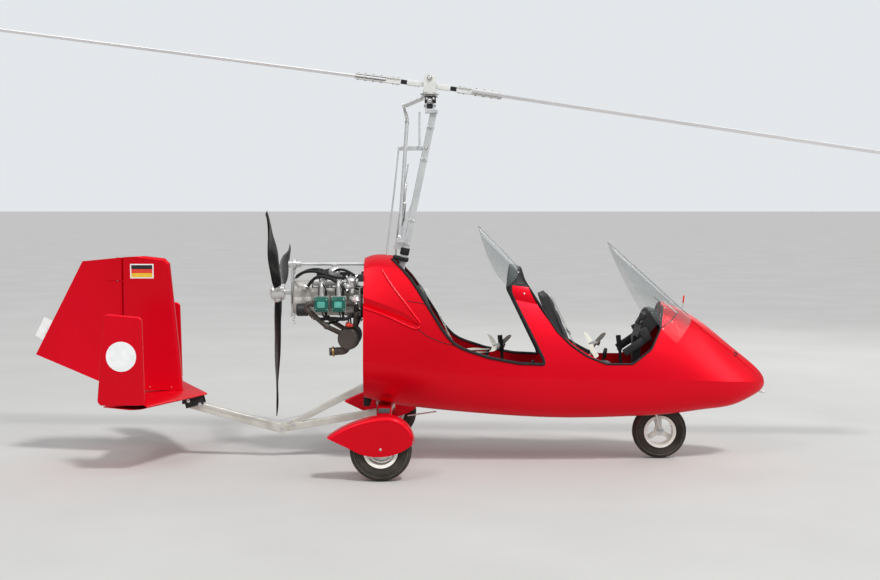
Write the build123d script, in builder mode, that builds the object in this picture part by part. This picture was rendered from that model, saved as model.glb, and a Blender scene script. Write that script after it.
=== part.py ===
from build123d import *
from math import cos, radians, sin
import os

os.makedirs("parts", exist_ok=True)

# A tandem open-cockpit gyrocopter: X forward, Y to port, Z up, floor at Z = 0 under the rotor bolt.
# Clearances shared by all pieces that sit in, on or round one another.
fit = 0.3
running = 0.08
swing_gap = 6

# Body shell: each row is one cross-section, from the nose tip back to the engine bulkhead.
body_wall = 6
body_rear = -450
body_sections = [
    # x, belly, top, widest, height of widest, flat floor, shoulder width, shoulder height
    (2328, 512, 564, 30, 538, 10, 12, 556),
    (2304, 483, 604, 74, 541, 30, 34, 588),
    (2235, 444, 673, 138, 550, 64, 66, 640),
    (2100, 390, 782, 212, 560, 106, 100, 726),
    (1900, 363, 945, 272, 572, 142, 142, 862),
    (1700, 340, 1062, 312, 582, 168, 182, 950),
    (1350, 320, 1160, 345, 590, 190, 212, 1010),
    (900, 313, 1250, 362, 600, 200, 226, 1060),
    (450, 335, 1385, 366, 615, 200, 228, 1150),
    (0, 374, 1400, 362, 650, 192, 222, 1255),
    (-250, 407, 1416, 350, 690, 184, 196, 1330),
    (body_rear, 450, 1398, 332, 710, 176, 182, 1328),
]
side_bulge = 0.05

# Panel seam between the tub and the rear cowl, and the two cockpit cut lines.
seam_front = (262, 792)
seam_rear = (body_rear, 1070)
sill_z = 700
cowl_lip = (-254, 1398)
cowl_slope = (-131, 1277)
cowl_knee = (-42, 1144)
slope_foot = (91, 931)
seat_cut_mid = (171, 838)
hoop_rear_foot = (775, sill_z)
hoop_rear_top = (545, 1170)
hoop_peak_rear = (560, 1420)
hoop_peak_front = (612, 1420)
hoop_front_top = (650, 1262)
hoop_front_mid = (870, 915)
hoop_front_foot = (1200, sill_z)
dash_foot = (1375, sill_z)
dash_mid = (1500, 795)
dash_knee = (1567, 927)
dash_top = (1606, 1130)

# Side ducts: a shallow recess in each flank of the rear cowl, open at the rear edge.
duct_tip = (-62, 950)
duct_low = (body_rear - 20, 1092)
duct_high = (body_rear - 20, 1312)
duct_depth = 70
duct_tip_half_width = 308
duct_lean = 0.238
duct_extra_slope = 0.075

# Windscreens: half-round sheets, by their foot and tip on the centre line.
screen_sheet = 3
screens = [
    # name, foot, tip, cylinder radius, half width, drop of the outline below the foot
    ("windscreen_front", (1772, 1033), (1237, 1513), 320, 300, 60),
    ("windscreen_rear", (618, 1338), (338, 1624), 290, 252, 30),
]

# Frame: square keel tubes, the tail boom and the rear struts.
keel_size = 50
keel_rear = (-458, 494)
keel_front = (1430, 386)
boom_size = 60
lower_tube_size = 48
strut_size = 43
boom_joint = (-1031, 206)
boom_end = (-1690, 386)
lower_tube_front = (-270, 338)
strut_front = (-446, 508)
tube_corner = 5
tube_wall = 3

# Mast: a rectangular tube that leans forward to the rotor head.
mast_depth = 46
mast_width = 70
mast_wall = 4
mast_top = (26, 2399)
mast_plate = (88, 110, 21)
mast_plate_x = 12

# Rotor head: the roll pin lies fore and aft, the pitch pin across, the teeter bolt on top.
teeter_z = 2637
roll_pin_z = 2447
pitch_pin_z = 2482
head_pin_radius = 8
head_block_half = 20
head_block_half_width = 24
lug_thickness = 7
bridge_z = 2506
bridge_thickness = 12
hub_radius = 42
hub_flare_radius = 59
rotor_tilt = 7.9
rotor_droop = 0.55
rotor_radius = 4200
blade_chord = 200
blade_thickness = 24
blade_skin = 4
blade_root = 300
hub_bar_drop = 47
hub_bar_half_length = 510
hub_bar_width = 56
grip_thickness = 8

# Engine: a flat four with its reduction gearbox, prop and exhaust.
crank_z = 1095
prop_x = -1054
prop_z = 1163
prop_radius = 860
prop_hub_radius = 56
prop_hub_length = 90
prop_shaft_radius = 20
cylinder_xs = (-732, -617)
cylinder_radius = 52
crankcase_half_width = 98
head_y = 205
cover_y = 262
muffler_radius = 74
muffler_place = (-556, 851)

# Tail: stabilizer, side fins, centre fin and rudder.
stabilizer_z = 450
stabilizer_thickness = 56
tail_skin = 4
stabilizer_nose_x = -1554
tail_rear_x = -2125
side_fin_y = 690
side_fin_thickness = 30
fin_thickness = 56
rudder_hinge_x = tail_rear_x - 30
rudder_nose_radius = 24
hinge_pin_radius = 5
hinge_heights = (620, 1240)

# Wheels and gear.
track_half = 850
main_wheel_x = -308
main_wheel_radius = 200
nose_wheel_x = 1604
nose_wheel_radius = 189
tyre_width = 100
rim_radius = 112
axle_radius = 10
nose_rake = 13.7
fork_half_width = 72
nose_axle_half = 84
tow_pin_radius = 8
tow_pin_length = 18
steer_stem_radius = 14
fender_half_width = 76
fender_wall = 4
bow_chord = 100
bow_thickness = 32
bow_z = 388


def body_section(x, belly, top, widest, widest_z, floor, shoulder, shoulder_z, inset):
    """One closed cross-section of the body, drawn in from the outer skin by inset."""
    side_low = (widest - inset, widest_z)
    side_high = (shoulder - inset, shoulder_z - inset / 2)
    middle = (Vector(*side_low) + Vector(*side_high)) * 0.5
    bulge = (side_high[1] - side_low[1]) * side_bulge
    with BuildSketch(Plane.YZ.offset(x)) as section:
        with BuildLine():
            Line((0, belly + inset), (floor - inset / 2, belly + inset))
            EllipticalCenterArc((floor - inset / 2, widest_z), widest - floor - inset / 2,
                                widest_z - belly - inset, start_angle=270, arc_size=90)
            ThreePointArc(side_low, (middle.X + bulge, middle.Y), side_high)
            TangentArc((0, top - inset), side_high, tangent=(1, 0))
            mirror(about=Plane.YZ)
        make_face()
    return section.sketch


def body_loft(inset, first=0):
    """The whole body as one solid, its skin drawn in by inset, starting at a given section."""
    with BuildPart() as body:
        loft(sections=[body_section(*row, inset) for row in body_sections[first:]])
    return body.part


def side_prism(points, half_width):
    """A prism across the aircraft with the given outline in the X-Z plane."""
    with BuildSketch(Plane.XZ) as outline:
        with BuildLine():
            Polyline(*points, close=True)
        make_face()
    with BuildPart() as prism:
        extrude(outline.sketch, amount=half_width, both=True)
    return prism.part


def beam(start, end, width, height, corner=tube_corner, y=0, mode=Mode.ADD):
    """Adds a square tube, drawn solid, between two points of the X-Z plane."""
    run = Vector(end[0] - start[0], 0, end[1] - start[1])
    with BuildSketch(Plane(origin=(start[0], y, start[1]), x_dir=(0, 1, 0), z_dir=run)) as profile:
        RectangleRounded(width, height, corner)
    extrude(profile.sketch, amount=run.length, mode=mode)


def rod(start, end, radius, mode=Mode.ADD):
    """Adds a round bar between two points in space."""
    run = Vector(*end) - Vector(*start)
    with BuildSketch(Plane(origin=start, z_dir=run)) as disc:
        Circle(radius)
    extrude(disc.sketch, amount=run.length, mode=mode)


def pipe(points, radius, bend, mode=Mode.ADD):
    """Adds a round pipe along straight runs joined by arcs of one bend radius."""
    with BuildLine() as path:
        FilletPolyline(*points, radius=bend)
    with BuildSketch(Plane(origin=path.line @ 0, z_dir=path.line % 0)) as disc:
        Circle(radius)
    sweep(disc.sketch, path=path.line, mode=mode)


def outline_solid(points, thickness, y=0):
    """A plate or block with a polygon outline in the X-Z plane, centred at y."""
    with BuildSketch(Plane.XZ.offset(-y)) as outline:
        with BuildLine():
            Polyline(*points, close=True)
        make_face()
    with BuildPart() as block:
        extrude(outline.sketch, amount=thickness / 2, both=True)
    return block.part


def save(builder, name):
    """Labels a finished piece and writes it as one file."""
    builder.part.label = name
    export_step(builder.part, "parts/" + name + ".step")


# Cockpit cut outlines in the X-Z plane, open upwards.
cut_top = 1900
with BuildSketch(Plane.XZ) as rear_cut:
    with BuildLine():
        ThreePointArc(cowl_lip, cowl_slope, cowl_knee)
        Line(cowl_knee, slope_foot)
        ThreePointArc(slope_foot, seat_cut_mid, seam_front)
        Polyline(seam_front, (395, 748), (600, 708), hoop_rear_foot, hoop_rear_top,
                 hoop_peak_rear, (hoop_peak_rear[0], cut_top), (cowl_lip[0], cut_top), cowl_lip)
    make_face()
with BuildSketch(Plane.XZ) as front_cut:
    with BuildLine():
        Line(hoop_peak_front, hoop_front_top)
        ThreePointArc(hoop_front_top, hoop_front_mid, hoop_front_foot)
        Polyline(hoop_front_foot, dash_foot, dash_mid, dash_knee, dash_top,
                 (dash_top[0], cut_top), (hoop_peak_front[0], cut_top), hoop_peak_front)
    make_face()
with BuildPart() as cockpit_cuts:
    extrude(rear_cut.sketch, amount=500, both=True)
    extrude(front_cut.sketch, amount=500, both=True)

# Regions that split the shell at its real seams.
cowl_region = side_prism([seam_rear, seam_front, (300, cut_top), (body_rear - 10, cut_top),
                          (body_rear - 10, seam_rear[1] + 4)], 500)
hoop_region = side_prism([hoop_rear_foot, (hoop_front_foot[0] + 5, sill_z), (1210, 1000), (800, cut_top),
                          (400, cut_top), (400, 900)], 500)

# Body skin and the space inside it.
outer_body = body_loft(0)
inner_body = body_loft(body_wall, 2)
lined_body = body_loft(body_wall + fit, 2)

# The recesses of the side ducts, as a wedge on each flank, and the same wedge one wall deeper.
def duct_wedge(deeper):
    """Both duct recesses; deeper moves every wall that much further into the body."""
    outline = [(duct_tip[0] + 2 * deeper, duct_tip[1] - deeper), (duct_low[0], duct_low[1] - deeper),
               (duct_high[0], duct_high[1] + deeper), (duct_tip[0] + deeper, duct_tip[1] + 2 * deeper)]
    slope = duct_depth / (duct_tip[0] - body_rear) + duct_extra_slope
    prism = side_prism(outline, 500)
    with BuildPart() as wedge:
        face_plane = Plane(origin=(duct_tip[0], -duct_tip_half_width + deeper, duct_tip[1]),
                           x_dir=(1, -slope, 0), z_dir=(-slope, -1, -duct_lean))
        with BuildSketch(face_plane):
            Rectangle(1600, 1600)
        extrude(amount=300)
        add(prism, mode=Mode.INTERSECT)
        mirror(about=Plane.XZ)
    return wedge.part


duct_cut = duct_wedge(0)
duct_wall = duct_wedge(body_wall)

with BuildPart() as hollow:
    add(inner_body)
    add(duct_wall, mode=Mode.SUBTRACT)
with BuildPart() as shell:
    add(outer_body)
    add(duct_cut, mode=Mode.SUBTRACT)
    add(hollow.part, mode=Mode.SUBTRACT)
    add(cockpit_cuts.part, mode=Mode.SUBTRACT)

# Steering axis, raked through the nose wheel's hub, and the well it turns in.
steer_up = (-sin(radians(nose_rake)), 0, cos(radians(nose_rake)))
hub_point = Vector(nose_wheel_x, 0, nose_wheel_radius)
steer_plane = Plane(origin=hub_point, x_dir=(0, 1, 0), z_dir=steer_up)
crown_height = nose_wheel_radius + 28
stem_length = 390
well_length = 310
well_width = 236
well_roof_z = 446
well_wall = 4
well_foot_z = 336
well_centre = (nose_wheel_x - 2, 0)

with BuildPart() as fuselage_tub:
    add(shell.part)
    add(cowl_region, mode=Mode.SUBTRACT)
    add(hoop_region, mode=Mode.SUBTRACT)
    with Locations((*well_centre, 300)):
        Box(well_length, well_width, 140, mode=Mode.SUBTRACT)
save(fuselage_tub, "fuselage_tub")

with BuildPart() as rear_cowl:
    add(shell.part)
    add(cowl_region, mode=Mode.INTERSECT)
save(rear_cowl, "rear_cowl")

with BuildPart() as mid_hoop:
    add(shell.part)
    add(hoop_region, mode=Mode.INTERSECT)
save(mid_hoop, "mid_hoop")

# Black lining inside the hoop, closed by the front seat's back panel.
lining = 4
lining_inset = body_wall + fit
deep_body = body_loft(lining_inset + lining, 2)
with BuildPart() as hoop_lining:
    add(lined_body)
    add(deep_body, mode=Mode.SUBTRACT)
    add(hoop_region, mode=Mode.INTERSECT)
    add(cockpit_cuts.part, mode=Mode.SUBTRACT)
save(hoop_lining, "hoop_lining")

# Engine bulkhead across the rear of the body, notched over the keel.
bulkhead_thickness = 3
with BuildPart() as firewall:
    add(lined_body)
    add(duct_wedge(body_wall + fit), mode=Mode.SUBTRACT)
    with Locations((body_rear + 1 + bulkhead_thickness / 2, 0, 900)):
        Box(bulkhead_thickness, 900, 1200, mode=Mode.INTERSECT)
    with Locations((body_rear, 0, keel_rear[1])):
        Box(40, keel_size + 2 * fit, 120, mode=Mode.SUBTRACT)
save(firewall, "firewall")

# Cockpit floor, level, with its edges against the shell.
floor_z = 505
floor_thickness = 5
floor_rear = 20
floor_front = 1470
with BuildPart() as floor_board:
    add(lined_body)
    with Locations(((floor_rear + floor_front) / 2, 0, floor_z)):
        Box(floor_front - floor_rear, 900, floor_thickness, mode=Mode.INTERSECT)
save(floor_board, "floor_board")


# Seats: an L-shaped cushion in each bay, on a box that stands on the floor.
seat_width = 380
seat_base_width = 340
seat_thickness = 70
seats = [
    # name, cushion front, cushion rear, back top
    ("front", (1290, 600), (990, 565), (745, 1150)),
    ("rear", (440, 640), (60, 600), (-120, 1190)),
]
floor_top = floor_z + floor_thickness / 2
with BuildPart() as seat_bases:
    for name, front, rear, top in seats:
        rise = (front[1] - rear[1]) / (front[0] - rear[0])
        add(outline_solid([(front[0] - 30, floor_top + fit), (front[0] - 30, front[1] - 30 * rise - fit),
                           (rear[0] + 30, rear[1] + 30 * rise - fit), (rear[0] + 30, floor_top + fit)],
                          seat_base_width))
save(seat_bases, "seat_bases")
for name, front, rear, top in seats:
    back = Vector(top[0] - rear[0], 0, top[1] - rear[1]).normalized() * seat_thickness
    with BuildPart() as seat:
        add(outline_solid([front, rear, top, (top[0] + back.Z, top[1] - back.X),
                           (rear[0] + seat_thickness * 0.9, rear[1] + seat_thickness),
                           (front[0] - 10, front[1] + seat_thickness)], seat_width))
        fillet(seat.edges().filter_by(Axis.Y), 18)
    save(seat, "seat_" + name)

# Instrument pod on its pedestal, and one small panel for the rear seat.
pod_width = 290
pedestal_x = 1436
pedestal_top = 862
pod_outline = [(1560, 1050), (1575, 960), (1470, 840), (1425, 850), (1450, 930), (1510, 1045)]
with BuildPart() as instrument_panel:
    add(outline_solid(pod_outline, pod_width))
    fillet(instrument_panel.edges().filter_by(Axis.Y), 12)
    with Locations((pedestal_x, 0, (floor_top + fit + pedestal_top) / 2)):
        Box(56, 90, pedestal_top - floor_top - fit)
save(instrument_panel, "instrument_panel")

# Control sticks, fixed here, standing on the floor in front of each seat.
with BuildPart() as control_sticks:
    for stick_x in (1345, 520):
        with Locations((stick_x, 0, floor_top + fit + 3)):
            Cylinder(30, 6)
        rod((stick_x, 0, floor_top + fit + 3), (stick_x - 20, 0, 760), 11)
        rod((stick_x - 20, 0, 755), (stick_x - 32, 0, 860), 17)
save(control_sticks, "control_sticks")

# Well round the nose wheel, let into the belly, with a slot for the steering stem.
with BuildPart() as nose_well:
    with Locations((*well_centre, (well_foot_z + well_roof_z) / 2)):
        Box(well_length - 2 * fit, well_width - 2 * fit, well_roof_z - well_foot_z)
    with Locations((*well_centre, (well_foot_z + well_roof_z) / 2 - well_wall)):
        Box(well_length - 2 * fit - 2 * well_wall, well_width - 2 * fit - 2 * well_wall,
            well_roof_z - well_foot_z, mode=Mode.SUBTRACT)
    rod(steer_plane.from_local_coords((0, 0, crown_height)),
        steer_plane.from_local_coords((0, 0, stem_length)), steer_stem_radius + swing_gap, mode=Mode.SUBTRACT)
save(nose_well, "nose_well")

# Keel: the tube inside the belly, the lower tube and boom behind, and the strut that braces them.
keel_top_z = keel_rear[1] + keel_size / 2
head_tube_radius = steer_stem_radius + 10
head_tube_span = (276, 372)
bow_saddle_width = 120
frame_tubes = [
    # start, end, side of the square
    (keel_rear, keel_front, keel_size),
    (boom_joint, lower_tube_front, lower_tube_size),
    (boom_joint, boom_end, boom_size),
    (boom_joint, strut_front, strut_size),
]
with BuildPart() as keel_frame:
    for start, end, size in frame_tubes:
        beam(start, end, size, size)
    # Saddle under the belly that carries the gear bow
    with Locations((main_wheel_x, 0, (lower_tube_front[1] + bow_z - bow_thickness / 2) / 2)):
        Box(bow_chord, bow_saddle_width, bow_z - bow_thickness / 2 - lower_tube_front[1])
    for start, end, size in frame_tubes:
        beam(start, end, size - 2 * tube_wall, size - 2 * tube_wall, corner=tube_corner - tube_wall,
             mode=Mode.SUBTRACT)
    with Locations(Location((boom_joint[0], 0, boom_joint[1]), (90, 0, 0))):
        Cylinder(36, boom_size + 6)
    # Steering head tube and its brace from the keel
    rod(steer_plane.from_local_coords((0, 0, head_tube_span[0])),
        steer_plane.from_local_coords((0, 0, head_tube_span[1])), head_tube_radius)
    rod((1250, 0, keel_front[1] + 16), steer_plane.from_local_coords((0, 0, 318)), 15)
    rod(steer_plane.from_local_coords((0, 0, head_tube_span[0] - 5)),
        steer_plane.from_local_coords((0, 0, head_tube_span[1] + 5)),
        steer_stem_radius + running, mode=Mode.SUBTRACT)
save(keel_frame, "keel_frame")

# Saddles that carry the tub on the keel
with BuildPart() as keel_saddles:
    for saddle_x in (-150, 500, 1150):
        keel_low = keel_rear[1] + (keel_front[1] - keel_rear[1]) * (saddle_x - keel_rear[0]) / (
            keel_front[0] - keel_rear[0]) - keel_size / 2
        with Locations((saddle_x, 0, keel_low - 60 - 3)):
            Box(60, 160, 120)
    add(lined_body, mode=Mode.INTERSECT)
save(keel_saddles, "keel_saddles")

# Mast: a hollow rectangular tube standing on the keel, with the head plate on top.
mast_plate_top = mast_top[1] + mast_plate[2]
mast_lean = (mast_top[0] - (-165)) / (mast_top[1] - 1483)
mast_foot = (mast_top[0] - (mast_top[1] - keel_top_z) * mast_lean, keel_top_z)
keel_run = Vector(keel_front[0] - keel_rear[0], 0, keel_front[1] - keel_rear[1]).normalized()
keel_up = Vector(-keel_run.Z, 0, keel_run.X)
foot_origin = (Vector(keel_rear[0], 0, keel_rear[1]) + keel_run * (mast_foot[0] - keel_rear[0])
               + keel_up * (keel_size / 2 + fit))
foot_plane = Plane(origin=foot_origin, x_dir=keel_run, z_dir=keel_up)
with BuildPart() as mast:
    beam((mast_foot[0] - 30 * mast_lean, mast_foot[1] - 30), mast_top, mast_width, mast_depth, corner=8)
    with Locations((mast_plate_x, 0, mast_top[1] + mast_plate[2] / 2)):
        Box(*mast_plate)
    # Foot plate flat on the keel
    with BuildSketch(foot_plane) as foot_plate:
        Rectangle(120, 100)
    extrude(foot_plate.sketch, amount=8)
    split(bisect_by=foot_plane, keep=Keep.TOP)
    beam((mast_foot[0] - 30 * mast_lean, mast_foot[1] - 30), mast_top, mast_width - 2 * mast_wall,
         mast_depth - 2 * mast_wall, corner=8 - mast_wall, mode=Mode.SUBTRACT)
    # Two lugs that hold the roll pin
    with Locations((head_block_half + 3 + lug_thickness / 2, 0, mast_plate_top + 22),
                   (-head_block_half - 3 - lug_thickness / 2, 0, mast_plate_top + 22)):
        Box(lug_thickness, 40, 44)
    with Locations(Location((0, 0, roll_pin_z), (0, 90, 0))):
        Cylinder(head_pin_radius, 2 * head_block_half + 2 * lug_thickness + 14)
save(mast, "mast")

# Gimbal block: rolls on the mast's pin and carries the cradle's pitch pin.
with BuildPart() as head_block:
    with Locations((0, 0, (roll_pin_z - 17 + pitch_pin_z + 12) / 2)):
        Box(2 * head_block_half, 2 * head_block_half_width, pitch_pin_z + 12 - roll_pin_z + 17)
    with Locations(Location((0, 0, roll_pin_z), (0, 90, 0))):
        Cylinder(head_pin_radius + running, 200, mode=Mode.SUBTRACT)
    with Locations(Location((0, 0, pitch_pin_z), (90, 0, 0))):
        Cylinder(head_pin_radius + running, 200, mode=Mode.SUBTRACT)
save(head_block, "head_block")

# Cradle: cheeks each side of the block, the bearing bridge on top, and the control arm behind.
cheek_inner = head_block_half_width + swing_gap
cheek_thickness = 12
arm_end = (-176, 2446)
arm_half_width = 72
spindle_radius = 16
spindle_length = 34
with BuildPart() as head_cradle:
    with Locations((0, 0, bridge_z + bridge_thickness / 2)):
        Box(110, 2 * (cheek_inner + cheek_thickness), bridge_thickness)
    for side in (1, -1):
        with Locations((0, side * (cheek_inner + cheek_thickness / 2), (bridge_z + pitch_pin_z - 20) / 2)):
            Box(48, cheek_thickness, bridge_z - pitch_pin_z + 20)
    with Locations(Location((0, 0, pitch_pin_z), (90, 0, 0))):
        Cylinder(head_pin_radius, 2 * (cheek_inner + cheek_thickness) + 12)
    # Spindle that the rotor hub turns on, with its thrust shoulder
    with Locations((0, 0, bridge_z + bridge_thickness)):
        Cylinder(spindle_radius + 8, swing_gap - fit, align=(Align.CENTER, Align.CENTER, Align.MIN))
        Cylinder(spindle_radius, spindle_length, align=(Align.CENTER, Align.CENTER, Align.MIN))
    beam((-45, bridge_z - 3), arm_end, 60, 26)
    with Locations(Location((arm_end[0], 0, arm_end[1]), (90, 0, 0))):
        Cylinder(12, 2 * arm_half_width)
save(head_cradle, "head_cradle")

# Hub tower: bearing flange, barrel and the two cheeks that hold the teeter bolt.
tower_base_z = bridge_z + bridge_thickness + swing_gap
tower_barrel_top = 2560
tower_cheek_inner = hub_bar_width / 2 + swing_gap
tower_cheek_thickness = 12
with BuildPart() as hub_tower:
    with Locations((0, 0, tower_base_z)):
        Cylinder(hub_flare_radius, 10, align=(Align.CENTER, Align.CENTER, Align.MIN))
        Cylinder(hub_radius + 4, tower_barrel_top - tower_base_z, align=(Align.CENTER, Align.CENTER, Align.MIN))
    for side in (1, -1):
        with BuildSketch(Plane.XZ.offset(-side * (tower_cheek_inner + tower_cheek_thickness / 2))) as cheek:
            with Locations((0, (tower_barrel_top + teeter_z) / 2 - 10)):
                Rectangle(2 * hub_radius, teeter_z - tower_barrel_top + 20)
            with Locations((0, teeter_z - 7)):
                Circle(hub_radius)
        extrude(cheek.sketch, amount=tower_cheek_thickness / 2, both=True)
    with Locations(Location((0, 0, teeter_z), (90, 0, 0))):
        Cylinder(head_pin_radius, 2 * (tower_cheek_inner + tower_cheek_thickness) + 12)
    with Locations((0, 0, tower_base_z)):
        Cylinder(spindle_radius + running, spindle_length - swing_gap + 2,
                 align=(Align.CENTER, Align.CENTER, Align.MIN), mode=Mode.SUBTRACT)
save(hub_tower, "hub_tower")


def foil(plane, nose_x, chord, thickness, nose_share=0.4, tail_thickness=3):
    """A symmetrical wing section on a plane, running back from nose_x along the plane's x axis."""
    nose = chord * nose_share
    with BuildSketch(plane) as section:
        with BuildLine():
            EllipticalCenterArc((nose_x - nose, 0), nose, thickness / 2, start_angle=-90, arc_size=180)
            Polyline((nose_x - nose, thickness / 2), (nose_x - chord, tail_thickness / 2),
                     (nose_x - chord, -tail_thickness / 2), (nose_x - nose, -thickness / 2))
        make_face()
    return section.sketch


# Rotor: the hub bar hangs under the teeter bolt and the blades leave it at the droop angle.
hub_centre = Vector(-hub_bar_drop * sin(radians(rotor_tilt)), 0, teeter_z - hub_bar_drop * cos(radians(rotor_tilt)))
blade_nose = blade_chord * 0.25
rotor_sides = []
for name, side in (("front", 1), ("rear", -1)):
    angle = radians(rotor_tilt + side * rotor_droop)
    outward = Vector(side * cos(angle), 0, -side * sin(angle))
    rotor_sides.append((name, side, outward))

grip_start = 200
with BuildPart() as hub_bar:
    for name, side, outward in rotor_sides:
        span = Plane(origin=hub_centre, x_dir=(0, side, 0), z_dir=outward)
        with BuildSketch(span) as bar_section:
            Rectangle(hub_bar_width, blade_thickness + 2 * fit)
        extrude(bar_section.sketch, amount=blade_root - 10)
        for level in (1, -1):
            with BuildSketch(span.offset(grip_start)) as grip_section:
                with Locations((0, level * (blade_thickness / 2 + fit + grip_thickness / 2))):
                    Rectangle(hub_bar_width + 14, grip_thickness)
            extrude(grip_section.sketch, amount=hub_bar_half_length - grip_start)
    # Teeter block round the bolt
    with BuildSketch(Plane.XZ) as block_outline:
        with BuildLine():
            Polyline((-34, hub_centre.Z), (34, hub_centre.Z), (24, teeter_z + 16), (-24, teeter_z + 16), close=True)
        make_face()
    extrude(block_outline.sketch, amount=hub_bar_width / 2, both=True)
    with Locations(Location((0, 0, teeter_z), (90, 0, 0))):
        Cylinder(head_pin_radius + running, 200, mode=Mode.SUBTRACT)
save(hub_bar, "hub_bar")

for name, side, outward in rotor_sides:
    with BuildPart() as rotor_blade:
        span = Plane(origin=hub_centre + outward * blade_root, x_dir=(0, side, 0), z_dir=outward)
        extrude(foil(span, blade_nose, blade_chord, blade_thickness), amount=rotor_radius - blade_root)
        extrude(foil(span, blade_nose - blade_skin, blade_chord - 50, blade_thickness - 2 * blade_skin),
                amount=rotor_radius - blade_root - blade_skin, mode=Mode.SUBTRACT)
    save(rotor_blade, "rotor_blade_" + name)

# Control rods from the rear of the mast up to the head arm; their upper eyes stay clear of it.
rod_y = 60
rod_foot = (-212, 1525)
rod_top = (-156, 2350)
rod_radius = 11
bracket_height = 32
with BuildPart() as control_rods:
    # Crank bar on the mast's rear face, which carries both rods
    with Locations((rod_foot[0] + 14, 0, rod_foot[1])):
        Box(60, 2 * rod_y + 30, bracket_height)
    beam(mast_foot, mast_top, mast_width + 2 * fit, mast_depth + 2 * fit, corner=8 + fit, mode=Mode.SUBTRACT)
    split(bisect_by=Plane(origin=(mast_foot[0], 0, mast_foot[1]), z_dir=(-1, 0, mast_lean)), keep=Keep.TOP)
    for side in (1, -1):
        rod((rod_foot[0], side * rod_y, rod_foot[1]), (rod_top[0], side * rod_y, rod_top[1]), rod_radius)
save(control_rods, "control_rods")

# Windscreens: a sheet bent to a half round, cut to a rounded arch, trimmed against the body.
screen_clear_body = body_loft(-fit)
for name, foot, tip, radius, half_width, drop in screens:
    slope = Vector(tip[0] - foot[0], 0, tip[1] - foot[1])
    up_slope = slope.normalized()
    with BuildPart() as screen:
        sheet_plane = Plane(origin=Vector(foot[0], 0, foot[1]) - up_slope * drop, x_dir=(0, 1, 0), z_dir=up_slope)
        with BuildSketch(sheet_plane) as ring:
            with Locations((0, radius)):
                Circle(radius)
                Circle(radius - screen_sheet, mode=Mode.SUBTRACT)
        extrude(ring.sketch, amount=slope.length + drop + 10)
        front_plane = Plane(origin=(foot[0], 0, foot[1]), x_dir=(0, 1, 0), z_dir=(up_slope.Z, 0, -up_slope.X))
        with BuildSketch(front_plane.offset(-radius)) as arch:
            Ellipse(half_width, slope.length)
            with Locations((0, -slope.length)):
                Rectangle(2 * half_width, 2 * (slope.length - drop), mode=Mode.SUBTRACT)
        extrude(arch.sketch, amount=radius + 10, mode=Mode.INTERSECT)
        add(screen_clear_body, mode=Mode.SUBTRACT)
    save(screen, name)

# Engine block with its mounting feet on the bulkhead.
crankcase_rear = -815
crankcase_front = -486
crankcase_low = crank_z - 90
crankcase_high = crank_z + 98
mount_foot_radius = 14
with BuildPart() as crankcase:
    with Locations(((crankcase_rear + crankcase_front) / 2, 0, (crankcase_low + crankcase_high) / 2)):
        Box(crankcase_front - crankcase_rear, 2 * crankcase_half_width, crankcase_high - crankcase_low)
    chamfer(crankcase.edges().filter_by(Axis.X), 22)
    with Locations((crankcase_front + 6, 0, crank_z)):
        Box(12, 320, 200)
    for side in (1, -1):
        for level in (-80, 80):
            rod((crankcase_front + 10, side * 140, crank_z + level),
                (body_rear + 1 - fit, side * 140, crank_z + level), mount_foot_radius)
save(crankcase, "crankcase")

# Cylinders with cooling fins, heads and green covers, two a side.
head_half_length = 50
head_half_height = 54
fin_count = 5
with BuildPart() as cylinders:
    for side in (1, -1):
        for x in cylinder_xs:
            barrel_length = head_y - crankcase_half_width - fit
            barrel_start = crankcase_half_width + fit
            with Locations(Location((x, side * (barrel_start + barrel_length / 2), crank_z), (90, 0, 0))):
                Cylinder(cylinder_radius - 10, barrel_length)
            for fin in range(fin_count):
                fin_y = barrel_start + 10 + fin * (barrel_length - 14) / fin_count
                with Locations(Location((x, side * fin_y, crank_z), (90, 0, 0))):
                    Cylinder(cylinder_radius, 4)
            with Locations((x, side * (head_y + cover_y) / 2, crank_z)):
                Box(2 * head_half_length, cover_y - head_y, 2 * head_half_height)
save(cylinders, "cylinders")

with BuildPart() as valve_covers:
    for side in (1, -1):
        for x in cylinder_xs:
            with Locations((x, side * (cover_y + fit + 20), crank_z)):
                Box(96, 40, 104)
    fillet(valve_covers.edges().filter_by(Axis.Y), 16)
    fillet(valve_covers.edges().group_by(Axis.Y)[0], 10)
    fillet(valve_covers.edges().group_by(Axis.Y)[-1], 10)
    for side in (1, -1):
        for x in cylinder_xs:
            with Locations((x, side * (cover_y + fit + 16), crank_z)):
                Box(84, 36, 92, mode=Mode.SUBTRACT)
save(valve_covers, "valve_covers")

# Intake: two plenums over the block, a runner down to each head, and a carburettor at each side.
plenum_z = crankcase_high + 40
plenum_y = 62
with BuildPart() as intake_manifold:
    for side in (1, -1):
        rod((-800, side * plenum_y, plenum_z), (-500, side * plenum_y, plenum_z), 24)
        for x in cylinder_xs:
            pipe([(x, side * plenum_y, plenum_z + 10), (x, side * 228, plenum_z + 10),
                  (x, side * 228, crank_z + head_half_height + fit)], 17, 45)
    for x in (-760, -540):
        with Locations((x, 0, plenum_z)):
            Box(30, 2 * plenum_y, 26)
        with Locations((x, 0, (crankcase_high + fit + plenum_z) / 2)):
            Box(30, 60, plenum_z - crankcase_high - fit)
save(intake_manifold, "intake_manifold")

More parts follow.
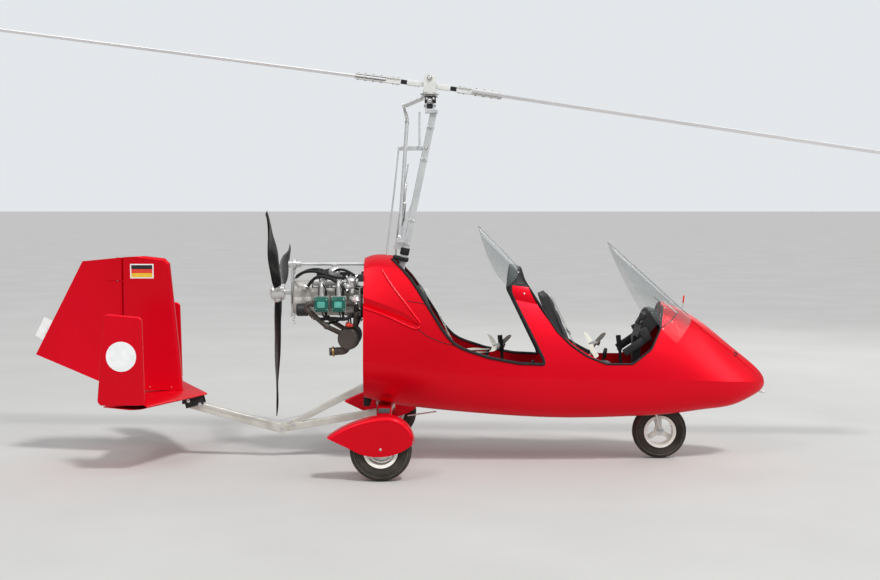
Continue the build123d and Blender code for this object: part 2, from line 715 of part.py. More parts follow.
# Gearbox, with the bore that the prop shaft turns in.
gearbox_rear = -946
with BuildPart() as gearbox:
    with BuildSketch(Plane.YZ.offset(gearbox_rear)) as gear_case:
        with Locations((0, prop_z)):
            Circle(84)
        with Locations((0, crank_z)):
            Circle(92)
        with Locations((0, (prop_z + crank_z) / 2)):
            Rectangle(168, prop_z - crank_z)
    extrude(gear_case.sketch, amount=crankcase_rear - fit - gearbox_rear)
    chamfer(gearbox.edges().group_by(Axis.X)[0], 12)
    with Locations(Location((gearbox_rear, 0, prop_z), (0, 90, 0))):
        Cylinder(prop_shaft_radius + running, 60, mode=Mode.SUBTRACT)
save(gearbox, "gearbox")

# Pre-rotator drive: the upright on the gearbox and the shaft that runs forward from it.
drive_plate_x = gearbox_rear - fit - 8
drive_shaft_z = 1357
with BuildPart() as prerotator_drive:
    with BuildSketch(Plane.YZ.offset(drive_plate_x)) as upright:
        with Locations((0, (prop_z + drive_shaft_z) / 2 + 10)):
            Rectangle(56, drive_shaft_z - prop_z + 60)
        with Locations((0, prop_z)):
            Circle(46)
            Circle(prop_shaft_radius + swing_gap, mode=Mode.SUBTRACT)
    extrude(upright.sketch, amount=8)
    rod((drive_plate_x - 20, 0, drive_shaft_z), (body_rear + 1 - fit, 0, drive_shaft_z), 11)
    rod((drive_plate_x - 26, 0, drive_shaft_z), (drive_plate_x + 40, 0, drive_shaft_z), 22)
save(prerotator_drive, "prerotator_drive")

# Exhaust: a pipe from each head down to the cross muffler, and the outlet elbow.
exhaust_radius = 17
exhaust_y = 233
outlet_radius = 27
with BuildPart() as exhaust_system:
    with Locations(Location((muffler_place[0], 0, muffler_place[1]), (90, 0, 0))):
        Cylinder(muffler_radius, 2 * 200)
    fillet(exhaust_system.edges().filter_by(GeomType.CIRCLE), 14)
    for side in (1, -1):
        pipe([(cylinder_xs[0] - head_half_length - fit, side * exhaust_y, crank_z),
              (-880, side * exhaust_y, crank_z), (-700, side * exhaust_y, 940),
              (muffler_place[0], side * 150, muffler_place[1] + 10)], exhaust_radius, 24)
        pipe([(cylinder_xs[1] + head_half_length + fit, side * exhaust_y, crank_z),
              (-498, side * exhaust_y, crank_z), (-508, side * 170, 950),
              (muffler_place[0], side * 120, muffler_place[1])], exhaust_radius, 24)
    with Locations(Location((muffler_place[0], 0, muffler_place[1]), (90, 0, 0))):
        Cylinder(muffler_radius - 3, 2 * 185, mode=Mode.SUBTRACT)
    outlet_path = [(muffler_place[0], -120, muffler_place[1] - muffler_radius / 2), (-584, -130, 765), (-690, -130, 757)]
    pipe(outlet_path, outlet_radius, 36)
    pipe([outlet_path[0], outlet_path[1], (-691, -130, 757)], outlet_radius - 3, 36, mode=Mode.SUBTRACT)
save(exhaust_system, "exhaust_system")

# Propeller: hub and shaft, and three twisted blades.
prop_axis = Axis((prop_x, 0, prop_z), (1, 0, 0))
with BuildPart() as prop_hub:
    with Locations(Location((prop_x, 0, prop_z), (0, 90, 0))):
        Cylinder(prop_hub_radius, prop_hub_length)
    rod((prop_x, 0, prop_z), (gearbox_rear + 26, 0, prop_z), prop_shaft_radius)
    chamfer(prop_hub.edges().group_by(Axis.X)[0], 6)
save(prop_hub, "prop_hub")

prop_sections = [
    # radius, chord, thickness, pitch angle
    (40, 46, 40, 62),
    (120, 74, 26, 46),
    (300, 112, 17, 28),
    (600, 88, 11, 17),
    (prop_radius, 40, 6, 12),
]
with BuildPart() as one_prop_blade:
    blade_faces = []
    for radius, chord, thickness, pitch in prop_sections:
        chord_dir = (sin(radians(pitch)), cos(radians(pitch)), 0)
        with BuildSketch(Plane(origin=(prop_x, 0, prop_z + radius), x_dir=chord_dir, z_dir=(0, 0, 1))) as section:
            Ellipse(chord / 2, thickness / 2)
        blade_faces.append(section.sketch)
    loft(sections=blade_faces)
    with Locations(Location((prop_x, 0, prop_z), (0, 90, 0))):
        Cylinder(prop_hub_radius + fit, 200, mode=Mode.SUBTRACT)
with BuildPart() as prop_blades:
    for turn in (50, 170, 290):
        add(one_prop_blade.part.rotate(prop_axis, turn))
save(prop_blades, "prop_blades")

# Stabilizer, swept back to the side fins.
stabilizer_tip = side_fin_y - side_fin_thickness / 2 - fit
stabilizer_tip_nose_x = -1838


def stabilizer_body(grow):
    """Both halves of the stabilizer as one solid, thickened by grow on each face."""
    with BuildPart() as halves:
        for side in (1, -1):
            plan = []
            for y, nose_x, thickness in ((0, stabilizer_nose_x, stabilizer_thickness),
                                         (side * stabilizer_tip, stabilizer_tip_nose_x, stabilizer_thickness * 0.7)):
                section_plane = Plane(origin=(nose_x + grow, y, stabilizer_z), x_dir=(1, 0, 0), z_dir=(0, -1, 0))
                plan.append(foil(section_plane, 0, nose_x + grow - tail_rear_x, thickness + 2 * grow))
            loft(sections=plan, ruled=True)
    return halves.part


with BuildPart() as stabilizer:
    add(stabilizer_body(0))
    for side in (1, -1):
        inner = []
        for y, nose_x, thickness in ((0, stabilizer_nose_x, stabilizer_thickness),
                                     (side * stabilizer_tip, stabilizer_tip_nose_x, stabilizer_thickness * 0.7)):
            section_plane = Plane(origin=(nose_x - tail_skin, y, stabilizer_z), x_dir=(1, 0, 0), z_dir=(0, -1, 0))
            inner.append(foil(section_plane, 0, nose_x - tail_skin - tail_rear_x - 60, thickness - 2 * tail_skin))
        loft(sections=inner, ruled=True, mode=Mode.SUBTRACT)
save(stabilizer, "stabilizer")

# Side fins, rounded at the corners.
side_fin_outline = [(-1850, 463), (-2160, 463), (-2108, 1064), (-1862, 1040)]
for name, side in (("left", 1), ("right", -1)):
    with BuildPart() as side_fin:
        add(outline_solid(side_fin_outline, side_fin_thickness, side * side_fin_y))
        fillet(side_fin.edges().filter_by(Axis.Y), 34)
        fillet(side_fin.edges().group_by(Axis.Y)[0], 9)
        fillet(side_fin.edges().group_by(Axis.Y)[-1], 9)
    save(side_fin, "side_fin_" + name)

# Centre fin on the stabilizer, with the two hinge tongues behind it.
fin_foot_z = stabilizer_z + stabilizer_thickness / 2 + fit
fin_rear_x = tail_rear_x
tongue_thickness = 8
tongue_radius = 15
with BuildPart() as centre_fin:
    add(outline_solid([(-1722, fin_foot_z), (fin_rear_x, fin_foot_z), (fin_rear_x, 1404), (-1977, 1412),
                       (-1840, 1396), (-1806, 1360), (-1746, 754)], fin_thickness))
    add(outline_solid([(-1758, fin_foot_z - 5), (fin_rear_x + 30, fin_foot_z - 5), (fin_rear_x + 30, 1370),
                       (-1840, 1360), (-1780, 754)], fin_thickness - 2 * tail_skin), mode=Mode.SUBTRACT)
    fillet(centre_fin.edges().filter_by(GeomType.LINE).filter_by(lambda e: abs(abs(e.center().Y) - fin_thickness / 2) < 0.1
           and e.center().X > -1990 and e.center().Z > fin_foot_z + 5), 18)
    for z in hinge_heights:
        with Locations(((fin_rear_x + rudder_hinge_x) / 2, 0, z)):
            Box(fin_rear_x - rudder_hinge_x + 2, 2 * tongue_radius, tongue_thickness)
        with Locations((rudder_hinge_x, 0, z)):
            Cylinder(tongue_radius, tongue_thickness)
    with Locations((rudder_hinge_x, 0, 900)):
        Cylinder(hinge_pin_radius + running, 1200, mode=Mode.SUBTRACT)
save(centre_fin, "centre_fin")

# Rudder: round-nosed on its hinge line, tapering to a thin rear edge.
rudder_outline = [(rudder_hinge_x, 486), (-2324, 547), (-2747, 726), (-2411, 1376), (rudder_hinge_x, 1401)]
rudder_rear = (-2760, 8)
with BuildPart() as rudder:
    with BuildSketch(Plane.XY.offset(486)) as wedge:
        with BuildLine():
            Polyline((rudder_hinge_x, rudder_nose_radius), (rudder_rear[0], rudder_rear[1] / 2),
                     (rudder_rear[0], -rudder_rear[1] / 2), (rudder_hinge_x, -rudder_nose_radius), close=True)
        make_face()
    extrude(wedge.sketch, amount=1000)
    add(outline_solid(rudder_outline, 100), mode=Mode.INTERSECT)
    with Locations((rudder_hinge_x, 0, 486)):
        Cylinder(rudder_nose_radius, 1401 - 486, align=(Align.CENTER, Align.CENTER, Align.MIN))
    with BuildSketch(Plane.XY.offset(500)) as inner_wedge:
        with BuildLine():
            Polyline((rudder_hinge_x - 100, rudder_nose_radius - 8), (-2680, 3), (-2680, -3),
                     (rudder_hinge_x - 100, -rudder_nose_radius + 8), close=True)
        make_face()
    extrude_cavity = extrude(inner_wedge.sketch, amount=880, mode=Mode.PRIVATE)
    add(extrude_cavity.intersect(outline_solid([(rudder_hinge_x - 100, 560), (-2324, 580), (-2690, 740),
                                                (-2400, 1340), (rudder_hinge_x - 100, 1370)], 100)),
        mode=Mode.SUBTRACT)
    with Locations((-2290, 0, 560)):
        Cylinder(4, 120, mode=Mode.SUBTRACT)
    for z in hinge_heights:
        with Locations((rudder_hinge_x, 0, z)):
            Cylinder(tongue_radius + 70, tongue_thickness + 1, mode=Mode.SUBTRACT)
        with Locations((rudder_hinge_x, 0, z)):
            Cylinder(hinge_pin_radius, tongue_thickness + 4)
save(rudder, "rudder")

# Fixed trim tab at the rudder's rear edge.
rudder_low_corner = Vector(*rudder_outline[2])
edge_up = (Vector(*rudder_outline[3]) - rudder_low_corner).normalized()
edge_out = Vector(-edge_up.Y, edge_up.X)
tab_start, tab_end, tab_width = 112, 262, 64
tab_corners = [rudder_low_corner + edge_up * tab_start + edge_out * fit,
               rudder_low_corner + edge_up * tab_end + edge_out * fit,
               rudder_low_corner + edge_up * tab_end + edge_out * tab_width,
               rudder_low_corner + edge_up * (tab_start + 6) + edge_out * tab_width]
with BuildPart() as trim_tab:
    add(outline_solid([(corner.X, corner.Y) for corner in tab_corners], 3))
save(trim_tab, "trim_tab")

# Fitting that joins the stabilizer to the boom: a saddle over the tube's end.
bracket_length = 110
bracket_top = stabilizer_z - stabilizer_thickness / 2
with BuildPart() as tail_bracket:
    with Locations((boom_end[0] + 20, 0, bracket_top - 10)):
        Box(bracket_length, boom_size + 18, 60)
    add(stabilizer_body(fit), mode=Mode.SUBTRACT)
    split(bisect_by=Plane.XY.offset(stabilizer_z), keep=Keep.BOTTOM)
    beam(boom_joint, (boom_end[0] - 80, boom_end[1] + 80 * (boom_end[1] - boom_joint[1]) / (boom_joint[0] - boom_end[0])),
         boom_size + 2 * fit, boom_size + 2 * fit, mode=Mode.SUBTRACT)
save(tail_bracket, "tail_bracket")

# Main gear bow: one flat spring leaf across the aircraft, with an end plate for each axle.
plate_face = track_half - fender_half_width - fit
with BuildPart() as gear_bow:
    with BuildLine() as bow_path:
        FilletPolyline((main_wheel_x, -plate_face + 20, main_wheel_radius + 14), (main_wheel_x, -190, bow_z),
                       (main_wheel_x, 190, bow_z), (main_wheel_x, plate_face - 20, main_wheel_radius + 14), radius=260)
    with BuildSketch(Plane(origin=bow_path.line @ 0, x_dir=(1, 0, 0), z_dir=bow_path.line % 0)) as bow_section:
        RectangleRounded(bow_chord, bow_thickness, 12)
    sweep(bow_section.sketch, path=bow_path.line)
    for side in (1, -1):
        with Locations((main_wheel_x, side * (plate_face - 12), main_wheel_radius)):
            Box(104, 24, 96)
save(gear_bow, "gear_bow")

axle_start = plate_face + fit
hub_half_length = 42
with BuildPart() as main_axles:
    for side in (1, -1):
        rod((main_wheel_x, side * axle_start, main_wheel_radius),
            (main_wheel_x, side * (track_half + 60), main_wheel_radius), axle_radius)
        rod((main_wheel_x, side * axle_start, main_wheel_radius),
            (main_wheel_x, side * (axle_start + 8), main_wheel_radius), 28)
        rod((main_wheel_x, side * (track_half + hub_half_length + 2), main_wheel_radius),
            (main_wheel_x, side * (track_half + hub_half_length + 14), main_wheel_radius), 18)
save(main_axles, "main_axles")

# Fenders: a teardrop shell over each main wheel, open below.
fender_tip = (-651, 286)
fender_crest = (-275, 421)
fender_front = (-92, 256)
fender_low = (-498, 214)


def fender_body(shrink, half_width, edge_radius):
    """The fender's outer form, or the cavity inside it, one wall smaller."""
    with BuildSketch(Plane.XZ.offset(track_half)) as outline:
        with BuildLine():
            top = ThreePointArc(fender_tip, (-440, 393), fender_crest)
            TangentArc(fender_crest, fender_front, tangent=top % 1)
            ThreePointArc(fender_front, (-300, 166), fender_low)
            Line(fender_low, fender_tip)
        make_face()
        if shrink:
            offset(amount=-shrink)
    with BuildPart() as body:
        extrude(outline.sketch, amount=half_width, both=True)
        side_edges = [e for e in body.edges() if abs(abs(e.center().Y + track_half) - half_width) < 0.1
                      and e.center().Z > 300]
        fillet(side_edges, edge_radius)
    return body.part


with BuildPart() as fender_right:
    add(fender_body(0, fender_half_width, 26))
    add(fender_body(fender_wall, fender_half_width - fender_wall, 22), mode=Mode.SUBTRACT)
    with Locations(((-628 - 98) / 2, -track_half, 180)):
        Box(530, 2 * (fender_half_width - fender_wall), 208, mode=Mode.SUBTRACT)
    with Locations(Location((main_wheel_x, -track_half + fender_half_width, main_wheel_radius), (90, 0, 0))):
        Cylinder(34, 30, mode=Mode.SUBTRACT)
save(fender_right, "fender_right")
with BuildPart() as fender_left:
    add(fender_right.part)
    mirror(about=Plane.XZ, mode=Mode.REPLACE)
save(fender_left, "fender_left")


def wheel_pieces(centre, radius, name):
    """A cast three-spoke rim and its tyre, centred on a hub point."""
    plane = Plane(origin=centre, x_dir=(1, 0, 0), z_dir=(0, 0, 1))
    axis = Axis(centre, (0, 1, 0))
    half = tyre_width / 2
    barrel = rim_radius - 12
    with BuildPart() as rim:
        with BuildSketch(plane) as barrel_profile:
            with Locations((barrel - 4, 0)):
                Rectangle(8, 2 * half - 4)
            with Locations((rim_radius - 8, half - 4), (rim_radius - 8, -half + 4)):
                Rectangle(16, 4)
        revolve(barrel_profile.sketch, axis=axis)
        with BuildSketch(plane) as hub_profile:
            with Locations(((axle_radius + running + 30) / 2, 0)):
                Rectangle(30 - axle_radius - running, 2 * hub_half_length)
        revolve(hub_profile.sketch, axis=axis)
        for turn in (90, 210, 330):
            spoke_dir = Vector(cos(radians(turn)), 0, sin(radians(turn)))
            with BuildSketch(Plane(origin=centre + spoke_dir * 24, x_dir=(0, 1, 0), z_dir=spoke_dir)) as spoke:
                Rectangle(22, 34)
            extrude(spoke.sketch, amount=barrel - 4 - 24)
    save(rim, name + "_rim")
    bead = barrel + fit
    with BuildPart() as tyre:
        with BuildSketch(plane) as tyre_profile:
            with BuildLine():
                Line((bead, 0), (bead, -half + 6 + fit))
                Line((bead, -half + 6 + fit), (rim_radius + 6, -half + 6 + fit))
                ThreePointArc((rim_radius + 6, -half + 6 + fit), ((rim_radius + radius) / 2, -half), (radius - 14, -half + 13))
                ThreePointArc((radius - 14, -half + 13), (radius - 4, -half * 0.4), (radius, 0))
                mirror(about=Plane.XZ)
            make_face()
        revolve(tyre_profile.sketch, axis=axis)
    save(tyre, name + "_tyre")


wheel_pieces(Vector(main_wheel_x, track_half, main_wheel_radius), main_wheel_radius, "wheel_left")
wheel_pieces(Vector(main_wheel_x, -track_half, main_wheel_radius), main_wheel_radius, "wheel_right")
wheel_pieces(hub_point, nose_wheel_radius, "nose_wheel")

# Nose fork: stem, crown and two blades, with the axle across the hub.
with BuildPart() as nose_fork:
    rod(steer_plane.from_local_coords((0, 0, crown_height - 10)),
        steer_plane.from_local_coords((0, 0, stem_length)), steer_stem_radius)
    with BuildSketch(steer_plane.offset(crown_height - 9)) as crown:
        RectangleRounded(2 * fork_half_width + 22, 34, 8)
    extrude(crown.sketch, amount=18)
    for side in (1, -1):
        rod(steer_plane.from_local_coords((side * fork_half_width, 0, -14)),
            steer_plane.from_local_coords((side * fork_half_width, 0, crown_height)), 10)
    rod((nose_wheel_x, -nose_axle_half, nose_wheel_radius),
        (nose_wheel_x, nose_axle_half, nose_wheel_radius), axle_radius)
    # Turned-down axle ends for a tow bar's eyes
    for side in (1, -1):
        rod((nose_wheel_x, side * nose_axle_half, nose_wheel_radius),
            (nose_wheel_x, side * (nose_axle_half + tow_pin_length), nose_wheel_radius), tow_pin_radius)
save(nose_fork, "nose_fork")
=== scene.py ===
import math

import bpy
from mathutils import Matrix, Vector


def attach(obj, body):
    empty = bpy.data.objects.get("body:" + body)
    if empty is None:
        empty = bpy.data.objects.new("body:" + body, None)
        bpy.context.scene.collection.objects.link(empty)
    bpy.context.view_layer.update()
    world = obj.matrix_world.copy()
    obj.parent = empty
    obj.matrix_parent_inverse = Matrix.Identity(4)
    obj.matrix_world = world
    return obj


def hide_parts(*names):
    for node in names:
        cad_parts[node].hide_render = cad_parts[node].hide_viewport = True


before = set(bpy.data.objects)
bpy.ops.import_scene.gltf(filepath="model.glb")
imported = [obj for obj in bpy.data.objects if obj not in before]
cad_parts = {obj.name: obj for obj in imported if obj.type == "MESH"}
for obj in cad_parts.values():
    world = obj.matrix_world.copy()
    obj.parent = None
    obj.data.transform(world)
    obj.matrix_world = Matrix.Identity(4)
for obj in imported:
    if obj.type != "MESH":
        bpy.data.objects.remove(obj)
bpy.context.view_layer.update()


# The photograph's place: a plain pale hall floor with no edge in sight, lit by a bright sky,
# three big soft lamps and a high sun. The camera stands ten metres off the starboard side.
def new_finish(name):
    """An empty node material and its main shader."""
    finish = bpy.data.materials.new(name)
    finish.use_nodes = True
    return finish, finish.node_tree.nodes["Principled BSDF"]


def numbers(node, **values):
    """Sets a node's named sockets; an underscore stands for a space."""
    for socket, value in values.items():
        node.inputs[socket.replace("_", " ")].default_value = value


def mottle(finish, scale, detail, low, high, stretch=(1, 1, 1)):
    """Soft noise on the piece's own place, spread between two values; returns its output."""
    nodes, links = finish.node_tree.nodes, finish.node_tree.links
    place = nodes.new("ShaderNodeTexCoord")
    turn = nodes.new("ShaderNodeMapping")
    noise = nodes.new("ShaderNodeTexNoise")
    spread = nodes.new("ShaderNodeMapRange")
    numbers(turn, Scale=stretch)
    numbers(noise, Scale=scale, Detail=detail)
    numbers(spread, From_Min=0.3, From_Max=0.7, To_Min=low, To_Max=high)
    spread.clamp = False
    links.new(place.outputs["Object"], turn.inputs["Vector"])
    links.new(turn.outputs["Vector"], noise.inputs["Vector"])
    links.new(noise.outputs["Fac"], spread.inputs["Value"])
    return spread.outputs["Result"]


def blend_colours(finish, share, first, second):
    """Mixes two colours by a share and returns the result."""
    mix = finish.node_tree.nodes.new("ShaderNodeMix")
    mix.data_type = "RGBA"
    finish.node_tree.links.new(share, mix.inputs[0])
    for socket, value in ((mix.inputs[6], first), (mix.inputs[7], second)):
        if isinstance(value, tuple):
            socket.default_value = (*value, 1)
        else:
            finish.node_tree.links.new(value, socket)
    return mix.outputs[2]


def raise_surface(finish, shader, height, depth):
    """Bumps the surface by a height pattern, depth in metres."""
    bump = finish.node_tree.nodes.new("ShaderNodeBump")
    bump.inputs["Distance"].default_value = depth
    finish.node_tree.links.new(height, bump.inputs["Height"])
    finish.node_tree.links.new(bump.outputs["Normal"], shader.inputs["Normal"])


def two_tone(name, grain, first, second, rough, relief=None, specks=None, **values):
    """A finish of two tones blended by noise of a (scale, detail) grain. rough is one number
    or mottle's numbers, relief is (scale, detail, depth), specks are (scale, detail, share,
    colour) laid over the tones, and values are the shader's own."""
    finish, shader = new_finish(name)
    tone = blend_colours(finish, mottle(finish, *grain, 0, 1), first, second)
    if specks:
        scale, detail, share, colour = specks
        tone = blend_colours(finish, mottle(finish, scale, detail, 0, share), tone, colour)
    finish.node_tree.links.new(tone, shader.inputs["Base Color"])
    if isinstance(rough, tuple):
        finish.node_tree.links.new(mottle(finish, *rough), shader.inputs["Roughness"])
    else:
        values["Roughness"] = rough
    numbers(shader, **values)
    if relief:
        scale, detail, depth = relief
        raise_surface(finish, shader, mottle(finish, scale, detail, 0, 1), depth)
    return finish


def facing(direction, forward="Z", up="Y"):
    """The rotation that points a piece's own axis along a direction."""
    return Vector(direction).to_track_quat(forward, up).to_euler()


def fresh(maker, **how):
    """Starts a new piece with nothing else selected."""
    bpy.ops.object.select_all(action="DESELECT")
    maker(**how)
    return bpy.context.object


floor = fresh(bpy.ops.mesh.primitive_plane_add, size=1200, location=(0, 0, 0))
floor.name = "hall_floor"
floor.data.materials.append(two_tone("pale_floor", (0.8, 4), (0.50, 0.49, 0.47), (0.54, 0.53, 0.51),
                                     0.9, Specular_IOR_Level=0.15))

world = bpy.data.worlds.new("soft_sky")
world.use_nodes = True
bpy.context.scene.world = world
sky_nodes, sky_links = world.node_tree.nodes, world.node_tree.links
even_sky = sky_nodes["Background"]
mirrored_sky = sky_nodes.new("ShaderNodeBackground")
seen_sky = sky_nodes.new("ShaderNodeBackground")
numbers(even_sky, Color=(0.90, 0.95, 1.0, 1), Strength=0.62)
numbers(seen_sky, Color=(0.86, 0.89, 0.92, 1), Strength=0.9)
sky_way = sky_nodes.new("ShaderNodeTexCoord")
sky_split = sky_nodes.new("ShaderNodeSeparateXYZ")
sky_ramp = sky_nodes.new("ShaderNodeMapRange")
numbers(sky_ramp, From_Min=0.02, From_Max=0.75, To_Min=0.20, To_Max=1.05)
ray = sky_nodes.new("ShaderNodeLightPath")
seen_ray = sky_nodes.new("ShaderNodeMath")
seen_ray.operation = "MAXIMUM"
lit_mix = sky_nodes.new("ShaderNodeMixShader")
sky_mix = sky_nodes.new("ShaderNodeMixShader")
for output, socket in (
        (sky_way.outputs["Generated"], sky_split.inputs[0]),
        (sky_split.outputs["Z"], sky_ramp.inputs["Value"]),
        (sky_ramp.outputs["Result"], mirrored_sky.inputs["Strength"]),
        (ray.outputs["Is Camera Ray"], seen_ray.inputs[0]),
        (ray.outputs["Is Transmission Ray"], seen_ray.inputs[1]),
        (ray.outputs["Is Glossy Ray"], lit_mix.inputs[0]),
        (even_sky.outputs[0], lit_mix.inputs[1]),
        (mirrored_sky.outputs[0], lit_mix.inputs[2]),
        (seen_ray.outputs[0], sky_mix.inputs[0]),
        (lit_mix.outputs[0], sky_mix.inputs[1]),
        (seen_sky.outputs[0], sky_mix.inputs[2]),
        (sky_mix.outputs[0], sky_nodes["World Output"].inputs["Surface"])):
    sky_links.new(output, socket)

lamps = [
    # name, place, aimed at, size, power
    ("sun_side_lamp", (-4.5, -7.5, 8.5), (0.2, 0, 0.8), 3.0, 260),
    ("far_side_lamp", (5.0, 8.0, 6.5), (0, 0, 1.0), 5.0, 200),
    ("nose_lamp", (8.5, -3.5, 4.5), (0.8, 0, 0.8), 4.0, 160),
]
for lamp_name, lamp_place, lamp_aim, lamp_size, lamp_power in lamps:
    bpy.ops.object.light_add(type="AREA", location=lamp_place)
    lamp = bpy.context.object
    lamp.name = lamp_name
    lamp.data.size = lamp_size
    lamp.data.energy = lamp_power
    lamp.rotation_euler = facing(Vector(lamp_aim) - Vector(lamp_place), "-Z")
bpy.ops.object.light_add(type="SUN", location=(3, -6, 8))
sun = bpy.context.object
sun.name = "high_sun"
sun.data.energy = 1.9
sun.data.angle = math.radians(9)
sun.rotation_euler = facing((-0.42, 0.62, -1.0), "-Z")
look_down = 3.46
bpy.ops.object.camera_add(location=(0.071, -10.0, 1.78),
                          rotation=(math.radians(90 - look_down), 0, 0))
camera = bpy.context.object
camera.data.lens = 58.9
camera.data.sensor_width = 36
camera.data.clip_end = 300
bpy.context.scene.camera = camera
bpy.context.scene.view_settings.view_transform = "Standard"


# The body shell: three mouldings of glass cloth and resin, the tub, the cowl behind the rear
# seat and the hoop between the cockpits, sprayed in metallic red and lacquered clear over it.
def dress(finish, *nodes):
    """Gives carried-over nodes their finish."""
    for node in nodes:
        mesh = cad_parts[node].data
        mesh.materials.clear()
        mesh.materials.append(finish)


red_lacquer = two_tone("red_lacquer", (1.1, 1), (0.66, 0.0, 0.008), (0.78, 0.0, 0.014),
                       (1.4, 1, 0.36, 0.44), (3, 1, 0.0003), (520, 2, 0.05, (0.78, 0.03, 0.07)),
                       Metallic=0.5, Coat_Weight=0.16, Coat_Roughness=0.22,
                       Specular_IOR_Level=0.08)
dress(red_lacquer, "fuselage_tub", "rear_cowl", "mid_hoop")


# Small fittings on the skin: pan-head screws along the nose deck and on the hoop, the yaw
# string post on the deck, the pressure tube under the nose, a vent each side and a belly drain.
def pick(*parts):
    """Selects these parts alone and makes the first one active."""
    bpy.ops.object.select_all(action="DESELECT")
    for part in parts:
        part.select_set(True)
    bpy.context.view_layer.objects.active = parts[0]


def joined(parts):
    """Joins loose parts into one piece."""
    pick(*parts)
    bpy.ops.object.convert(target="MESH")
    bpy.ops.object.transform_apply(location=True, rotation=True, scale=True)
    if len(parts) > 1:
        bpy.ops.object.join()
    return bpy.context.object


def settle(parts, name, finish, body="airframe", smooth=35):
    """Puts a finished piece, or loose parts joined up, into one mesh in place, names it, and
    gives it its finish and its body."""
    piece = joined(parts if isinstance(parts, list) else [parts])
    bpy.ops.object.shade_smooth_by_angle(angle=math.radians(smooth))
    piece.name = name
    piece.data.materials.clear()
    piece.data.materials.append(finish)
    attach(piece, body)
    return piece


def modified(piece, kind, **settings):
    """Adds a modifier with its settings and applies it."""
    bpy.context.view_layer.objects.active = piece
    step = piece.modifiers.new("step", kind)
    for setting, value in settings.items():
        setattr(step, setting, value)
    bpy.ops.object.modifier_apply(modifier="step")
    return piece


def soften(piece, width):
    """Breaks a piece's sharp edges."""
    return modified(piece, "BEVEL", width=width, segments=2, limit_method="ANGLE")


def block(centre, size, width=0.002, turn=(0, 0, 0)):
    """A block cut to size with its edges broken."""
    piece = fresh(bpy.ops.mesh.primitive_cube_add, size=1, location=centre, rotation=turn)
    piece.scale = size
    bpy.ops.object.transform_apply(location=False, rotation=False, scale=True)
    return soften(piece, width)


def edit_all():
    """Opens the active piece with all of it selected."""
    bpy.ops.object.mode_set(mode="EDIT")
    bpy.ops.mesh.select_all(action="SELECT")


def close_edit():
    """Turns all faces outwards and goes back to the object."""
    bpy.ops.mesh.select_all(action="SELECT")
    bpy.ops.mesh.normals_make_consistent(inside=False)
    bpy.ops.object.mode_set(mode="OBJECT")


def pulled(move):
    """Extrudes what is selected by a move."""
    bpy.ops.mesh.extrude_region_move(TRANSFORM_OT_translate={"value": move})


def turned(profile, centre, direction, sides=28):
    """A lathe-turned piece: rings at (distance along, radius), closed at both ends."""
    start, start_radius = profile[0]
    piece = fresh(bpy.ops.mesh.primitive_circle_add, vertices=sides, radius=start_radius,
                  fill_type="NGON")
    edit_all()
    bpy.ops.transform.translate(value=(0, 0, start))
    for (along, radius), (next_along, next_radius) in zip(profile, profile[1:]):
        pulled((0, 0, next_along - along))
        grow = next_radius / radius
        bpy.ops.transform.resize(value=(grow, grow, 1), center_override=(0, 0, next_along))
    close_edit()
    piece.rotation_euler = facing(direction)
    piece.location = centre
    return piece


def copied(piece, place, direction=None):
    """A copy with its own mesh, moved to another place and turned if a direction is given."""
    twin = piece.copy()
    twin.data = piece.data.copy()
    bpy.context.collection.objects.link(twin)
    twin.location = place
    if direction:
        twin.rotation_euler = facing(direction)
    return twin


def line_of(points, radius):
    """A round line through control points, as a smooth curve made solid."""
    curve = bpy.data.curves.new("line", "CURVE")
    curve.dimensions = "3D"
    spline = curve.splines.new("NURBS")
    spline.points.add(len(points) - 1)
    for point, place in zip(spline.points, points):
        point.co = (*place, 1)
    spline.order_u = min(3, len(points))
    spline.use_endpoint_u = True
    spline.resolution_u = 8
    curve.bevel_depth = radius
    curve.bevel_resolution = 3
    curve.use_fill_caps = True
    tube = bpy.data.objects.new("line", curve)
    bpy.context.collection.objects.link(tube)
    return tube


def on_skin(node, x, z, side):
    """The point and the outward direction of a node's skin at a place seen from one side."""
    start = (x, side * 1.5, z)
    hit, place, normal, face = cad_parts[node].ray_cast(start, (0, -side, 0))
    return place, normal


bright_steel = two_tone("bright_steel", (40, 3), (0.66, 0.66, 0.66), (0.80, 0.80, 0.79),
                        (90, 3, 0.2, 0.38, (1, 1, 6)), Metallic=1.0)


def pan_screws(spots, radius, name, body="airframe"):
    """Round-headed screws, one at each (place, direction)."""
    shape = turned([(-0.001, radius), (0.001, radius), (0.0022, radius * 0.7),
                    (0.0026, radius * 0.3)], (0, 0, 0), (0, 0, 1), 14)
    copies = [copied(shape, place, direction) for place, direction in spots]
    bpy.data.objects.remove(shape)
    settle(copies, name, bright_steel, body)


deck_screws = []
for side in (1, -1):
    for x, z in ((1.593, 0.923), (1.659, 0.970), (1.730, 1.050), (1.62, 1.06)):
        deck_screws.append(on_skin("fuselage_tub", x, z, side))
    for x, z in ((0.608, 1.305), (0.645, 1.165)):
        deck_screws.append(on_skin("mid_hoop", x, z, side))
pan_screws(deck_screws, 0.0055, "skin_screws")

